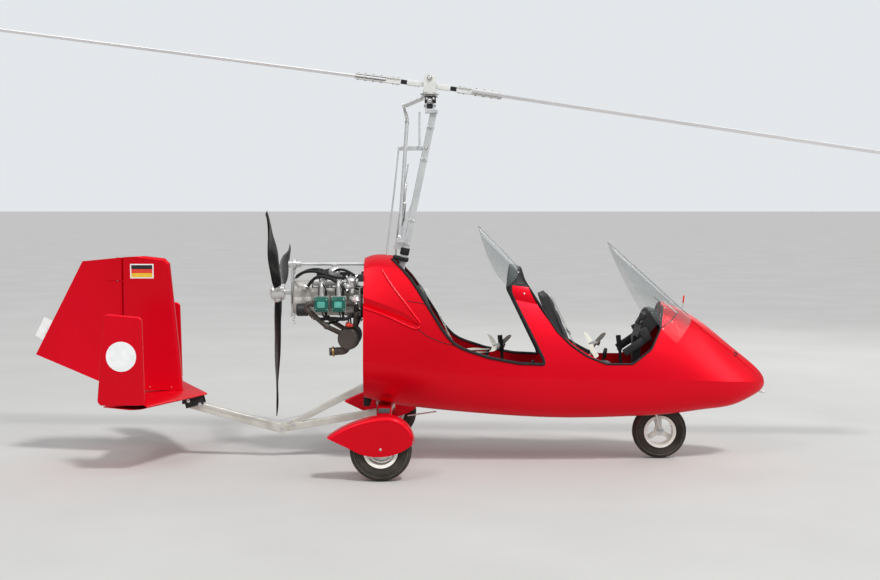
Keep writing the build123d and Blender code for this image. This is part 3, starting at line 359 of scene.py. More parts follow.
black_rubber = two_tone("black_rubber", (30, 3), (0.006, 0.006, 0.007), (0.014, 0.014, 0.015),
                        (60, 3, 0.45, 0.7), (380, 2, 0.0002), Specular_IOR_Level=0.3)
signal_red = two_tone("signal_red", (80, 2), (0.75, 0.05, 0.02), (0.62, 0.03, 0.015), 0.45)
post_foot, post_lean = (1.7585, 0, 1.036), (0.1, 0, 1)
settle(turned([(0, 0.011), (0.004, 0.011), (0.006, 0.003), (0.05, 0.0022)],
              post_foot, post_lean, 12), "yaw_post", bright_steel)
settle(turned([(0.048, 0.0035), (0.052, 0.006), (0.098, 0.006), (0.104, 0.0025)],
              post_foot, post_lean, 12), "yaw_post_tip", signal_red)
settle([
    line_of([(2.270, 0, 0.500), (2.276, 0, 0.470), (2.296, 0, 0.462), (2.345, 0, 0.462)], 0.006),
    turned([(0, 0.016), (0.008, 0.016), (0.012, 0.009), (0.03, 0.009)],
           (2.268, 0, 0.492), (0.1, 0, -1), 16),
    turned([(0, 0.0062), (0.004, 0.009), (0.012, 0.009), (0.016, 0.0062)],
           (2.318, 0, 0.462), (1, 0, 0), 16)], "pressure_tube", bright_steel)
both_sides = ((1, "left"), (-1, "right"))
for side, side_name in both_sides:
    # Each vent is a closed black dish: a rubber rim, and a dark sunk centre that is painted shade
    # for the opening.
    place, normal = on_skin("fuselage_tub", 2.116, 0.735, side)
    settle(turned([(-0.002, 0.020), (0.002, 0.020), (0.004, 0.017), (0.0042, 0.012),
                   (-0.001, 0.010)], place, normal, 24),
           "deck_vent_rim_and_shade_" + side_name, black_rubber)
settle([
    turned([(0, 0.018), (0.004, 0.018), (0.006, 0.009), (0.028, 0.009), (0.03, 0.005)],
           (0.89, 0, 0.314), (0, 0, -1), 16),
    block((0.92, 0, 0.302), (0.05, 0.016, 0.024), 0.003)],
    "belly_drain", bright_steel)


# The edging: a rubber bead along the rims of both cockpits, the fine dark joint between cowl
# and tub, the raised edge of the side scoop, and the nose deck's crease, all on both sides.
def spots_on_shell(line, side, spacing=0.03, shift=0.0, inner=0.08,
                   shell=("rear_cowl", "fuselage_tub", "mid_hoop")):
    """Places on the outermost shell moulding along a line of (x, z) corners, seen from a side."""
    spots = []
    for (x0, z0), (x1, z1) in zip(line, line[1:]):
        away = Vector((z1 - z0, x0 - x1)).normalized() * shift
        steps = max(1, round(math.hypot(x1 - x0, z1 - z0) / spacing))
        for step in range(steps + 1):
            x, z = x0 + (x1 - x0) * step / steps, z0 + (z1 - z0) * step / steps
            hits = []
            for way in ((1, -1) if shift else (1,)):
                for node in shell:
                    place, normal = on_skin(node, x + way * away.x, z + way * away.y, side)
                    if place is not None and place.y * side > inner:
                        hits.append((place.y * side, place + normal * 0.001))
            if hits:
                spot = max(hits, key=lambda hit: hit[0])[1]
                if not spots or (spot - spots[-1]).length > spacing * 0.4:
                    spots.append(spot)
    return spots


rear_rim = [(-0.254, 1.398), (-0.19, 1.340), (-0.131, 1.277), (-0.085, 1.212), (-0.042, 1.144),
            (0.025, 1.037), (0.091, 0.931), (0.127, 0.883), (0.171, 0.838), (0.215, 0.811),
            (0.262, 0.792), (0.262, 0.792), (0.395, 0.748), (0.600, 0.708), (0.775, 0.700),
            (0.775, 0.700), (0.545, 1.170), (0.560, 1.420)]
front_rim = [(0.612, 1.420), (0.650, 1.262), (0.705, 1.160), (0.770, 1.055), (0.870, 0.915),
             (0.960, 0.825), (1.070, 0.750), (1.200, 0.700), (1.200, 0.700), (1.375, 0.700),
             (1.500, 0.795), (1.567, 0.927), (1.606, 1.130)]
cowl_joint = [(-0.098, 0.945), (-0.02, 0.885), (0.08, 0.842), (0.18, 0.818), (0.245, 0.803)]
cowl_crease = [(-0.150, 1.118), (-0.09, 1.108), (-0.01, 1.092)]
screen_foot = [(1.573, 0.925), (1.647, 0.972), (1.708, 1.030)]
scoop_edge = [(-0.325, 1.325), (-0.25, 1.21), (-0.165, 1.105), (-0.10, 1.02), (-0.058, 0.968),
              (-0.062, 0.944), (-0.09, 0.930), (-0.16, 0.958), (-0.25, 1.000), (-0.35, 1.040),
              (-0.44, 1.066)]
deck_crease = [(1.735, 1.030), (1.915, 0.886), (2.09, 0.750), (2.20, 0.655), (2.26, 0.600)]


def edging(line, radius, **how):
    """A round line along the shell on both sides."""
    return [line_of(spots_on_shell(line, side, **how), radius) for side in (1, -1)]


settle(edging(rear_rim, 0.0105, shift=0.006) + edging(front_rim, 0.007, shift=0.006),
       "rim_beads", black_rubber)
settle(edging(cowl_joint, 0.0022) + edging(cowl_crease, 0.0022) + edging(screen_foot, 0.004),
       "cowl_seams", black_rubber)
settle(edging(scoop_edge, 0.0075, spacing=0.04) + edging(deck_crease, 0.0045, inner=0.01),
       "scoop_edges", red_lacquer)

# The hoop's head above the rear screen's foot carries painted shade: its own skin, doubled by a
# thin black sheet that stands in for the shade seen there, with the screen's clear sheet over it.
head_shade_sheet = copied(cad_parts["mid_hoop"], (0, 0, 0))
head_shade_sheet.parent = None
pick(head_shade_sheet)
edit_all()
bpy.ops.mesh.bisect(plane_co=(0.60, 0, 1.215), plane_no=(0.12, 0, 1), clear_inner=True)
bpy.ops.object.mode_set(mode="OBJECT")
shade_sheet_thickness = 0.0008
for vertex in head_shade_sheet.data.vertices:
    vertex.co += vertex.normal * shade_sheet_thickness
# The black sheet on the hoop's head is painted shade.
settle(head_shade_sheet, "hoop_head_painted_shade", black_rubber, smooth=50)

# The two windscreens: clear acrylic sheet bent to a half round over a mould, its cut edge
# polished, screwed to the deck along its foot, with two bright stays on the front one.
clear_acrylic, shader = new_finish("clear_acrylic")
numbers(shader, Base_Color=(0.22, 0.25, 0.25, 1), Roughness=0.04, IOR=1.49)
nodes, links = clear_acrylic.node_tree.nodes, clear_acrylic.node_tree.links
grazing = nodes.new("ShaderNodeLayerWeight")
numbers(grazing, Blend=0.42)
depth_of_tint = nodes.new("ShaderNodeMapRange")
numbers(depth_of_tint, To_Min=0.06, To_Max=0.34)
dust = nodes.new("ShaderNodeMath")
dust.operation = "ADD"
links.new(grazing.outputs["Facing"], depth_of_tint.inputs["Value"])
links.new(depth_of_tint.outputs["Result"], dust.inputs[0])
links.new(mottle(clear_acrylic, 6, 1, 0, 0.03), dust.inputs[1])
links.new(dust.outputs[0], shader.inputs["Alpha"])
dress(clear_acrylic, "windscreen_front", "windscreen_rear")
settle(edging([(1.592, 1.112), (1.690, 1.030)], 0.0045, inner=0.05, shell=("windscreen_front",)),
       "screen_stays", bright_steel)

# The cockpit's inside: black flocked lining in the hoop and on the floor, a black glove-smooth
# instrument pod, the keel tube's saddles and the well round the nose wheel, all plain moulded.
black_moulding = two_tone("black_moulding", (9, 4), (0.007, 0.007, 0.008), (0.018, 0.018, 0.019),
                          (24, 4, 0.38, 0.62), (900, 2, 0.00015))
black_carpet = two_tone("black_carpet", (260, 4), (0.010, 0.010, 0.011), (0.045, 0.045, 0.047),
                        0.95, (420, 3, 0.0008), Sheen_Weight=0.25)
dress(black_moulding, "instrument_panel", "nose_well", "keel_saddles", "seat_bases",
      "tail_bracket", "head_block")
dress(black_carpet, "hoop_lining", "floor_board")
dress(black_rubber, "control_sticks")

# The instruments in the pod's rear face: seven round gauges with bezels, tick marks and hands,
# a radio and knobs below, the cable bundles behind the pod and a tray on each cockpit wall.
gauge_face = two_tone("gauge_face", (60, 2), (0.008, 0.008, 0.009), (0.016, 0.016, 0.018), 0.6)
gauge_white = two_tone("gauge_white", (60, 2), (0.80, 0.80, 0.78), (0.70, 0.70, 0.68), 0.5)
pod_low, pod_high = Vector((1.450, 0, 0.930)), Vector((1.510, 0, 1.045))
pod_up = (pod_high - pod_low).normalized()
pod_out = Vector((-pod_up.z, 0, pod_up.x))
gauge_spots = [
    # across, up from the pod's lower edge, radius
    (-0.098, 0.088, 0.031), (-0.032, 0.090, 0.031), (0.034, 0.090, 0.031), (0.099, 0.088, 0.029),
    (-0.110, 0.032, 0.020), (-0.064, 0.030, 0.020), (0.110, 0.032, 0.020),
]
bezels, faces, marks = [], [], []
for across, up, radius in gauge_spots:
    centre = pod_low + pod_up * up + Vector((0, across, 0)) + pod_out * 0.0005
    bezels.append(turned([(0, radius + 0.003), (0.005, radius + 0.003), (0.007, radius),
                          (0.003, radius - 0.002)], centre, pod_out, 32))
    faces.append(turned([(0.001, radius - 0.002), (0.0034, radius - 0.002), (0.0036, 0.003)],
                        centre, pod_out, 32))
    for tick in range(12):
        angle = math.radians(tick * 25 - 135)
        spoke = pod_up * math.cos(angle) + Vector((0, 1, 0)) * math.sin(angle)
        mark = block(centre + pod_out * 0.0038 + spoke * (radius - 0.006),
                     (0.0006, 0.0012, 0.005), 0.0002)
        mark.rotation_euler = facing(spoke, "Z", "X")
        marks.append(mark)
    marks.append(turned([(-0.004, 0.0012), (0.0, 0.0016), (radius - 0.008, 0.0004)],
                        centre + pod_out * 0.0045,
                        pod_up * 0.6 + Vector((0, across * 8 + 0.3, 0)), 8))
settle(bezels, "gauge_bezels", black_rubber)
settle(faces, "gauge_faces", gauge_face)
settle(marks, "gauge_marks", gauge_white)
knobs = [turned([(0, 0.006), (0.008, 0.0055), (0.012, 0.0065), (0.016, 0.006)],
                pod_low + pod_up * (0.012 + 0.006 * (n % 2)) + Vector((0, -0.03 + n * 0.018, 0)),
                pod_out, 16) for n in range(7)]
radio = block(pod_low + pod_up * 0.034 + Vector((0, 0.02, 0)) + pod_out * 0.006,
              (0.012, 0.066, 0.034), 0.003)
radio.rotation_euler = (0, math.atan2(pod_up.x, pod_up.z), 0)
settle(knobs + [radio], "pod_knobs", black_rubber)
looms = [line_of([(1.545, y, 0.965), (1.575 + bow, y * 1.1, 0.92), (1.54 + bow, y, 0.80),
                  (1.49, y * 0.6, 0.70), (1.468, y * 0.35, 0.60), (1.466, y * 0.3, 0.535)], thick)
         for y, bow, thick in ((-0.09, 0.05, 0.006), (-0.05, 0.03, 0.008), (-0.02, 0.055, 0.006),
                               (0.03, 0.04, 0.008), (0.07, 0.06, 0.006))]
settle(looms, "pod_looms", black_rubber)
trays = [block((1.40, y, 0.80), (0.17, 0.014, 0.055), 0.006, (0, math.radians(-34), 0))
         for y in (-0.20, 0.20)]
trays += [block((1.475, y, 0.88), (0.06, 0.03, 0.10), 0.01, (0, math.radians(-28), 0))
          for y in (-0.198, 0.198)]
settle(trays, "side_trays", black_moulding)


# The seats: a foam cushion and a foam back in each cockpit, covered in black artificial leather
# with sewn cross channels and a welt round the edge, laid on the seat boxes.
def pattern(finish, kind, scale):
    """A pattern node on the piece's own place."""
    nodes = finish.node_tree.nodes
    node = nodes.new(kind)
    numbers(node, Scale=scale)
    place = nodes.new("ShaderNodeTexCoord")
    finish.node_tree.links.new(place.outputs["Object"], node.inputs["Vector"])
    return node


black_leather = two_tone("black_leather", (6, 4), (0.016, 0.016, 0.018), (0.034, 0.034, 0.036),
                         (40, 4, 0.42, 0.62))
raise_surface(black_leather, black_leather.node_tree.nodes["Principled BSDF"],
              pattern(black_leather, "ShaderNodeTexVoronoi", 420).outputs["Distance"], 0.0004)


def cushion(name, corner, run, length, depth, channels, node):
    """A crowned foam pad: its face lies along a run from a corner, sewn channels go across."""
    width, crown_rise, channel_depth, channel_width = 0.372, 0.013, 0.011, 0.010
    corner, run = Vector(corner), Vector(run).normalized()
    face = Vector((-run.z, 0, run.x))
    middle = corner + run * length / 2
    pad = fresh(bpy.ops.mesh.primitive_cube_add, size=1)
    pad.scale = (length, width, depth)
    bpy.ops.object.transform_apply(location=False, rotation=False, scale=True)
    edit_all()
    bpy.ops.mesh.subdivide(number_cuts=23)
    bpy.ops.object.mode_set(mode="OBJECT")
    for vertex in pad.data.vertices:
        u, v, w = (2 * place / size for place, size in zip(vertex.co, (length, width, depth)))
        crown = crown_rise * (1 - u ** 4) * (1 - v ** 4)
        pull = 1 - 0.035 * (1 - abs(w) ** 2 * 0.5) * (1 - (abs(u) * abs(v)) ** 2)
        groove = 0
        for channel in channels:
            reach = abs(u - channel) * length / 2
            groove += (channel_depth * math.exp(-(reach / channel_width) ** 2)
                       * min(1, (1 - abs(v)) * 9))
        rounding = 0.012 * max(0, max(abs(u), abs(v)) - 0.86) / 0.14
        top = depth / 2 * w + (crown - groove - rounding if w > 0 else 0) * max(w, 0)
        vertex.co = (vertex.co.x * pull, vertex.co.y * pull,
                     top + (rounding * 0.5 if w < 0 else 0) * -w)
    modified(pad, "SUBSURF", levels=1, render_levels=1)
    pad.rotation_euler = (0, math.atan2(-run.z, run.x), 0)
    pad.location = middle + face * depth / 2
    settle(pad, name, black_leather, smooth=60)
    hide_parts(node)
    inset = 0.97
    loop = [(-1, -0.93), (-1, 0.93), (-0.93, 1), (0.93, 1), (1, 0.93), (1, -0.93), (0.93, -1),
            (-0.93, -1)]
    welt = [middle + run * (u * length / 2 * inset) + Vector((0, v * width / 2 * inset, 0))
            + face * (depth - 0.014) for u, v in loop + loop[:2]]
    settle(line_of(welt, 0.0042), name + "_welt", black_leather, smooth=60)


cushion("front_cushion", (0.998, 0, 0.567), (0.300, 0, 0.035), 0.286, 0.068,
        (-0.35, 0.3), "seat_front")
cushion("rear_cushion", (0.068, 0, 0.602), (0.380, 0, 0.040), 0.366, 0.068,
        (-0.45, 0, 0.45), "seat_rear")
for name, foot, rise, length, node in (
        ("front_back", (0.985, 0, 0.590), (-0.238, 0, 0.565), 0.600, "seat_front"),
        ("rear_back", (0.056, 0, 0.625), (-0.176, 0, 0.572), 0.590, "seat_rear")):
    rise = Vector(rise).normalized()
    shifted = Vector(foot) + Vector((rise.z, 0, -rise.x)) * 0.002
    cushion(name, shifted + rise * length, -rise, length, 0.064, (-0.6, -0.2, 0.2, 0.6), node)

# Harness: cream woven webbing, a lap belt and two shoulder belts at each seat, the ends lying
# over the seat and standing up in front, with bright steel buckles.
cream_webbing, shader = new_finish("cream_webbing")
weave = pattern(cream_webbing, "ShaderNodeTexWave", 170).outputs["Fac"]
cream_webbing.node_tree.links.new(
    blend_colours(cream_webbing, weave, (0.60, 0.57, 0.48), (0.78, 0.75, 0.66)),
    shader.inputs["Base Color"])
numbers(shader, Roughness=0.85, Sheen_Weight=0.2)
raise_surface(cream_webbing, shader, weave, 0.0004)


def strap(places, across, width):
    """Flat webbing laid through places; across gives the width's direction at each one."""
    web = fresh(bpy.ops.mesh.primitive_plane_add, size=1)
    mesh = web.data
    halves = [Vector(way).normalized() * width / 2 for way in across]
    for vertex, (step, sign) in zip(mesh.vertices, ((0, -1), (0, 1), (1, -1), (1, 1))):
        vertex.co = places[step] + halves[step] * sign
    for step in range(2, len(places)):
        end = len(mesh.vertices) - 2
        for vertex in mesh.vertices:
            vertex.select = vertex.index >= end
        for edge in mesh.edges:
            edge.select = min(edge.vertices) >= end
        for face in mesh.polygons:
            face.select = False
        bpy.ops.object.mode_set(mode="EDIT")
        bpy.ops.mesh.select_mode(type="EDGE")
        pulled(places[step] - places[step - 1])
        bpy.ops.object.mode_set(mode="OBJECT")
        low, high = mesh.vertices[end + 2], mesh.vertices[end + 3]
        if (low.co - places[step]).dot(halves[step]) > 0:
            low, high = high, low
        low.co, high.co = places[step] - halves[step], places[step] + halves[step]
    modified(web, "SOLIDIFY", thickness=0.0022, offset=0)
    return modified(web, "SUBSURF", levels=2, render_levels=2)


def near(origin, *steps):
    """Places given by their distances from an origin."""
    return [origin + Vector(step) for step in steps]


belts, buckles = [], []
harness_sets = [
    # where the belts meet, seat back top, height of the cushion, lean of the ends
    (Vector((0.485, 0, 0.760)), Vector((-0.045, 0, 1.190)), Vector((0.30, 0, 0.708)), 0.06),
    (Vector((1.150, 0, 0.775)), Vector((0.815, 0, 1.150)), Vector((1.17, 0, 0.667)), 0.05),
]
for knot, back_top, lap, lean in harness_sets:
    for side in (1, -1):
        y = side * 0.075
        belts.append(strap(
            near(back_top, (-0.02, y, -0.05), (0.012, y, 0.018), (0.055, y, -0.06),
                 (0.145, y * 1.2, -0.26), (0.215, y * 1.4, -0.40))
            + near(lap, (-0.08, side * 0.11, 0.012), (0.0, side * 0.085, 0.016)),
            [(0, 1, 0)] * 7, 0.045))
        buckles.append(block(back_top + Vector((0.150, y * 1.2, -0.262)), (0.030, 0.054, 0.010),
                             0.002, (0, math.radians(70), 0)))
        # The lap belt lies over the cushion and its end stands up past the sill
        belts.append(strap(
            near(lap, (-0.13, side * 0.178, -0.02), (-0.08, side * 0.165, 0.022),
                 (0.0, side * 0.13, 0.05))
            + near(knot, (-0.03, side * 0.09, -0.02), (side * 0.035, side * 0.03, 0.055),
                   (side * (0.02 + lean), -side * 0.03, 0.110)),
            [(0.2, 0.3, 1), (0.5, 0.4, 0.8), (1, 0.2, 0.5), (1, 0, 0.1), (1, 0, -0.2),
             (0.9, 0.2, -0.2)], 0.040))
        buckles.append(block(knot + Vector((side * 0.02, side * 0.045, 0.03)),
                             (0.046, 0.012, 0.034), 0.003,
                             (0, math.radians(side * 24), math.radians(10))))
settle(belts, "harness_belts", cream_webbing, smooth=60)
settle(buckles, "harness_buckles", bright_steel)

# Rudder pedals and throttle levers, bent from steel tube and painted black: two pedals on a
# floor plate in front of each seat, and a lever with a turned grip at its left.
pedals = []
for x, spread in ((1.70, 0.085), (0.74, 0.16)):
    for side in (1, -1):
        y, foot = side * spread, side * (spread - 0.04)
        pedals += [
            line_of([(x, foot, 0.512), (x, foot, 0.56), (x - 0.005, y, 0.60),
                     (x - 0.01, y, 0.655)], 0.008),
            line_of([(x - 0.01, y - 0.045, 0.655), (x - 0.012, y, 0.656),
                     (x - 0.01, y + 0.045, 0.655)], 0.010)]
    pedals.append(block((x, 0, 0.512), (0.06, 2 * spread + 0.02, 0.008), 0.002))
for x in (1.22, 0.38):
    pedals += [
        line_of([(x, 0.205, 0.52), (x, 0.207, 0.62), (x + 0.02, 0.207, 0.69)], 0.008),
        turned([(-0.01, 0.010), (0.0, 0.015), (0.05, 0.014), (0.06, 0.009)],
               (x + 0.02, 0.207, 0.69), (0.2, 0, 1), 18)]
settle(pedals, "pedals_and_levers", black_moulding)

# The frame: square stainless tube, welded, bead-blasted and left pale, from the keel under the
# seats to the tail boom, with welded gussets, two bolts through the joint and a belly stay.
pale_frame = two_tone("pale_frame", (12, 4), (0.60, 0.575, 0.51), (0.72, 0.70, 0.64),
                      (70, 4, 0.34, 0.52), (600, 2, 0.00008), Metallic=0.55)
dress(pale_frame, "keel_frame")


def flat_plate(outline, y, thickness, width=0.001):
    """A plate cut to an outline of (x, z) corners, centred at y, its edges broken."""
    plate = fresh(bpy.ops.mesh.primitive_circle_add, vertices=len(outline), radius=1,
                  fill_type="NGON")
    for vertex, (x, z) in zip(plate.data.vertices, outline):
        vertex.co = (x, y - thickness / 2, z)
    edit_all()
    pulled((0, thickness, 0))
    close_edit()
    return soften(plate, width)


def bolts(places, direction, radius=0.006, height=0.005):
    """Hexagon heads on round washers, one at each place, all facing one way."""
    washer = turned([(0.0, radius * 1.5), (height * 0.25, radius * 1.5),
                     (height * 0.26, radius * 0.9)], (0, 0, 0), (0, 0, 1), 16)
    head = turned([(height * 0.25, radius), (height * 0.9, radius), (height, radius * 0.85)],
                  (0, 0, 0), (0, 0, 1), 6)
    first = joined([washer, head])
    copies = [copied(first, place, direction) for place in places]
    bpy.data.objects.remove(first)
    return joined(copies)


def side_bolts(places, radius=0.006, height=0.005, sides=(1, -1)):
    """Bolts at places given for the left side and repeated on the right, facing outwards."""
    return [bolts([(x, side * y, z) for x, y, z in places], (0, side, 0), radius, height)
            for side in sides]


gussets = []
for side in (1, -1):
    gussets += [
        flat_plate([(-0.985, 0.196), (-0.93, 0.222), (-0.925, 0.268), (-0.978, 0.240)],
                   side * 0.026, 0.004),
        flat_plate([(-0.500, 0.455), (-0.455, 0.470), (-0.455, 0.520), (-0.500, 0.500)],
                   side * 0.0255, 0.004)]
settle(gussets, "frame_gussets", pale_frame)
settle(side_bolts([(-1.031, 0.0335, 0.206), (-0.955, 0.0265, 0.232)], 0.010, 0.008),
       "frame_bolts", bright_steel)
settle(line_of([(-0.155, -0.03, 0.300), (-0.05, -0.03, 0.314), (0.045, -0.03, 0.328)], 0.005),
       "belly_stay", bright_steel)

# The mast: a square alloy tube, painted silver, with stiffeners and clamps, a rubber band where
# it leaves the cowl, the trim cables and jack behind it, and the control rods' eyes and forks.
mast_silver = two_tone("mast_silver", (9, 4), (0.56, 0.57, 0.58), (0.68, 0.69, 0.69),
                       (60, 3, 0.3, 0.45), Metallic=0.5)
dress(mast_silver, "mast", "control_rods", "firewall")
mast_slope = 0.2085
rod_way = (0.0677, 0, 1)


def mast_line(height):
    """The mast's centre line: its x at a height."""
    return 0.026 - (2.399 - height) * mast_slope


settle([flat_plate([(mast_line(1.80) - 0.020, 1.80), (mast_line(1.46) - 0.022, 1.46),
                    (mast_line(1.46) - 0.085, 1.46), (mast_line(1.54) - 0.062, 1.56)],
                   side * 0.037, 0.004) for side in (1, -1)],
       "mast_stiffeners", mast_silver)
tilt = (0, math.atan(mast_slope), 0)
settle([block((mast_line(1.445), 0, 1.445), (0.062, 0.086, 0.050), 0.006, tilt),
        block((mast_line(1.400) - 0.02, 0, 1.395), (0.110, 0.120, 0.030), 0.008, tilt)],
       "mast_band", black_rubber)
clamps = [block((mast_line(height), 0, height), (0.052, 0.077, 0.022), 0.003, tilt)
          for height in (1.50, 1.66, 2.08, 2.30)]
clamps.append(block((-0.135, 0, 2.158), (0.17, 0.028, 0.032), 0.004))
clamps += [line_of([(-0.070, side * 0.03, 2.172), (-0.070, side * 0.03, 2.30),
                    (-0.070, side * 0.026, 2.405)], 0.007) for side in (1, -1)]
settle(clamps, "mast_clamps", mast_silver)
settle(side_bolts([(mast_line(height), 0.0387, height)
                   for height in (1.50, 1.66, 2.08, 2.158, 2.30)], 0.007, 0.006, (-1, 1)),
       "mast_bolts", bright_steel)
settle([
    line_of([(-0.214, -0.02, 2.155), (-0.235, -0.024, 1.95), (-0.262, -0.03, 1.72),
             (-0.292, -0.03, 1.50), (-0.300, -0.03, 1.43), (-0.27, -0.03, 1.36),
             (-0.24, -0.02, 1.30)], 0.006),
    line_of([(-0.150, 0.044, 2.05), (-0.175, 0.045, 1.90), (-0.215, 0.045, 1.68),
             (-0.235, 0.045, 1.50), (-0.24, 0.045, 1.36)], 0.005)],
    "trim_cables", mast_silver)
settle(turned([(0, 0.010), (0.012, 0.016), (0.16, 0.016), (0.165, 0.008), (0.30, 0.0075),
               (0.305, 0.004)], (-0.196, 0.0, 1.62), (0.11, 0, 1), 24),
       "trim_jack", bright_steel)
rod_eyes, arm_forks = [], []
for side in (1, -1):
    rod_eyes += [
        turned([(0, 0.0125), (0.016, 0.0125), (0.020, 0.007), (0.026, 0.007), (0.028, 0.010),
                (0.036, 0.010), (0.038, 0.006)], (-0.1575, side * 0.06, 2.328), rod_way, 20),
        turned([(0, 0.014), (0.028, 0.014), (0.032, 0.0112)],
               (-0.2115, side * 0.06, 1.525), rod_way, 20)]
    arm_forks += [block((-0.1675, side * 0.06 + spread, 2.406), (0.022, 0.004, 0.094), 0.0018,
                        (0, math.radians(-12), 0)) for spread in (0.029, -0.029)]
    arm_forks.append(turned([(0, 0.009), (0.020, 0.009), (0.021, 0.014), (0.028, 0.014),
                             (0.030, 0.009)], (-0.176, side * 0.0722, 2.446), (0, side, 0), 20))
settle(rod_eyes, "rod_eyes", bright_steel)
settle(arm_forks, "arm_forks", bright_steel, "pitch_cradle")

# The rotor head: machined alloy cheeks and bearing bridge, a steel hub tower with the teeter
# bolt through it, the toothed ring under the tower, and the nuts and bolts of all of them.
machined_alloy = two_tone("machined_alloy", (14, 3), (0.62, 0.62, 0.61), (0.74, 0.74, 0.73),
                          (130, 2, 0.26, 0.40, (1, 1, 8)), Metallic=0.85)
dress(machined_alloy, "head_cradle", "prop_hub", "main_axles", "nose_fork")
cream_paint = two_tone("cream_paint", (12, 3), (0.66, 0.66, 0.63), (0.76, 0.76, 0.73), 0.4,
                       Metallic=0.15)
dress(cream_paint, "hub_tower", "hub_bar")
settle([block((0.004, side * 0.0493, 2.492), (0.078, 0.0022, 0.044), 0.001)
        for side in (1, -1)], "cheek_plates", black_rubber, "pitch_cradle")
settle(side_bolts([(-0.020, 0.0505, 2.496), (0.028, 0.0505, 2.496)]),
       "cheek_bolts", bright_steel, "pitch_cradle")
bridge_bolts = [(0.042, 0.030, 2.5183), (0.042, -0.030, 2.5183),
                (-0.040, 0.038, 2.5183), (-0.040, -0.038, 2.5183)]
settle(side_bolts([(0, 0.0482, 2.482)], 0.012, 0.010)
       + [bolts(bridge_bolts, (0, 0, 1), 0.004, 0.004)],
       "pitch_nuts", bright_steel, "pitch_cradle")
settle([bolts([(0.0340, 0, 2.447)], (1, 0, 0), 0.011, 0.008),
        bolts([(-0.0340, 0, 2.447)], (-1, 0, 0), 0.011, 0.006)],
       "roll_nuts", bright_steel)


def round_places(centre, radius, angles, plane="xy"):
    """Places on a circle round a centre, at angles in degrees, in a plane of two axes."""
    first, second = ("xyz".index(axis) for axis in plane)
    places = []
    for angle in angles:
        place = list(centre)
        place[first] += radius * math.cos(math.radians(angle))
        place[second] += radius * math.sin(math.radians(angle))
        places.append(tuple(place))
    return places


settle(side_bolts([(0, 0.0525, 2.637)], 0.012, 0.010)
       + [bolts(round_places((0, 0, 2.534), 0.050, range(30, 360, 60)), (0, 0, 1),
                0.0035, 0.004)], "tower_nuts", bright_steel, "rotor_hub")
ring_gear = turned([(0, 0.0615), (0.003, 0.064), (0.007, 0.064), (0.009, 0.0615)],
                   (0, 0, 2.5245), (0, 0, 1), 72)
for vertex in ring_gear.data.vertices:
    x, y, rise = vertex.co
    if math.hypot(x, y) > 0.0630:
        reach = 1.03 if round(math.degrees(math.atan2(y, x)) / 5) % 2 else 0.985
        vertex.co = (x * reach, y * reach, rise)
settle(ring_gear, "ring_gear", machined_alloy, "rotor_hub")

# The rotor: two extruded alloy blades, anodised and polished by use, bolted through the grips
# to the hub bar, with a black closing cap fixed into each tip.
blade_alloy = two_tone("blade_alloy", (3, 4), (0.80, 0.81, 0.82), (0.90, 0.90, 0.89),
                       (24, 3, 0.28, 0.46, (1, 12, 1)), Metallic=0.45)
dress(blade_alloy, "rotor_blade_front", "rotor_blade_rear")
hub_centre = Vector((-0.00646, 0, 2.59045))
grip_spots = [(0.215, 0), (0.245, 0), (0.33, 0.018), (0.33, -0.018), (0.385, 0.018),
              (0.385, -0.018), (0.44, 0.018), (0.44, -0.018), (0.49, 0)]
cap_chord = 0.196
grip_bolts, blade_caps, hub_blocks, recess_shade_blocks = [], [], [], []
for side, angle in ((1, math.radians(8.45)), (-1, math.radians(7.35))):
    out = Vector((side * math.cos(angle), 0, -side * math.sin(angle)))
    up = Vector((math.sin(angle), 0, math.cos(angle)))
    grip_bolts += [bolts([hub_centre + out * reach + up * face * 0.0203 + Vector((0, sway, 0))
                          for reach, sway in grip_spots], up * face, 0.007, 0.006)
                   for face in (1, -1)]
    hub_blocks.append(block(hub_centre + out * 0.105, (0.085, 0.058, 0.038), 0.002,
                            (0, angle, 0)))
    # Black blocks in the hub bar's recesses stand in for the shade inside them: painted shade.
    recess_shade_blocks.append(block(hub_centre + out * 0.172, (0.044, 0.0575, 0.027), 0.002,
                             (0, angle, 0)))
    cap = block((0, 0, 0), (cap_chord, 0.022, 0.010), 0.004)
    for vertex in cap.data.vertices:
        share = (vertex.co.x + cap_chord / 2) / cap_chord
        vertex.co.y *= 0.24 + 0.76 * share ** 0.55
    nose = Vector((0, side, 0))
    cap.rotation_mode = "QUATERNION"
    cap.rotation_quaternion = Matrix((nose, out.cross(nose), out)).transposed().to_quaternion()
    cap.location = hub_centre + out * 4.191 + nose * -0.050
    blade_caps.append(cap)
settle(hub_blocks, "hub_blocks", cream_paint, "rotor")
# The hub bar's recesses: black blocks as painted shade.
settle(recess_shade_blocks, "hub_recess_painted_shade", black_rubber, "rotor")
settle(grip_bolts, "grip_bolts", bright_steel, "rotor")
settle(blade_caps, "blade_caps", black_moulding, "rotor")

# The engine: a flat four with a cast block and finned barrels, rubber-mounted on the bulkhead.
# Castings are left rough, the heads' covers are painted green, the exhaust is bare and stained.
cast_alloy = two_tone("cast_alloy", (22, 5), (0.46, 0.44, 0.41), (0.62, 0.60, 0.56),
                      (90, 4, 0.45, 0.68), (520, 3, 0.0003), Metallic=0.7)
green_enamel = two_tone("green_enamel", (18, 4), (0.0, 0.080, 0.058), (0.0, 0.135, 0.100), 0.32,
                        (240, 2, 0.0002), Coat_Weight=0.25)
pale_enamel = two_tone("pale_enamel", (30, 3), (0.06, 0.30, 0.24), (0.12, 0.44, 0.36), 0.35)
burnt_steel = two_tone("burnt_steel", (9, 5), (0.055, 0.052, 0.050), (0.12, 0.11, 0.10),
                       (50, 4, 0.45, 0.7), (300, 3, 0.0003),
                       (34, 5, 0.6, (0.10, 0.065, 0.045)), Metallic=0.6)
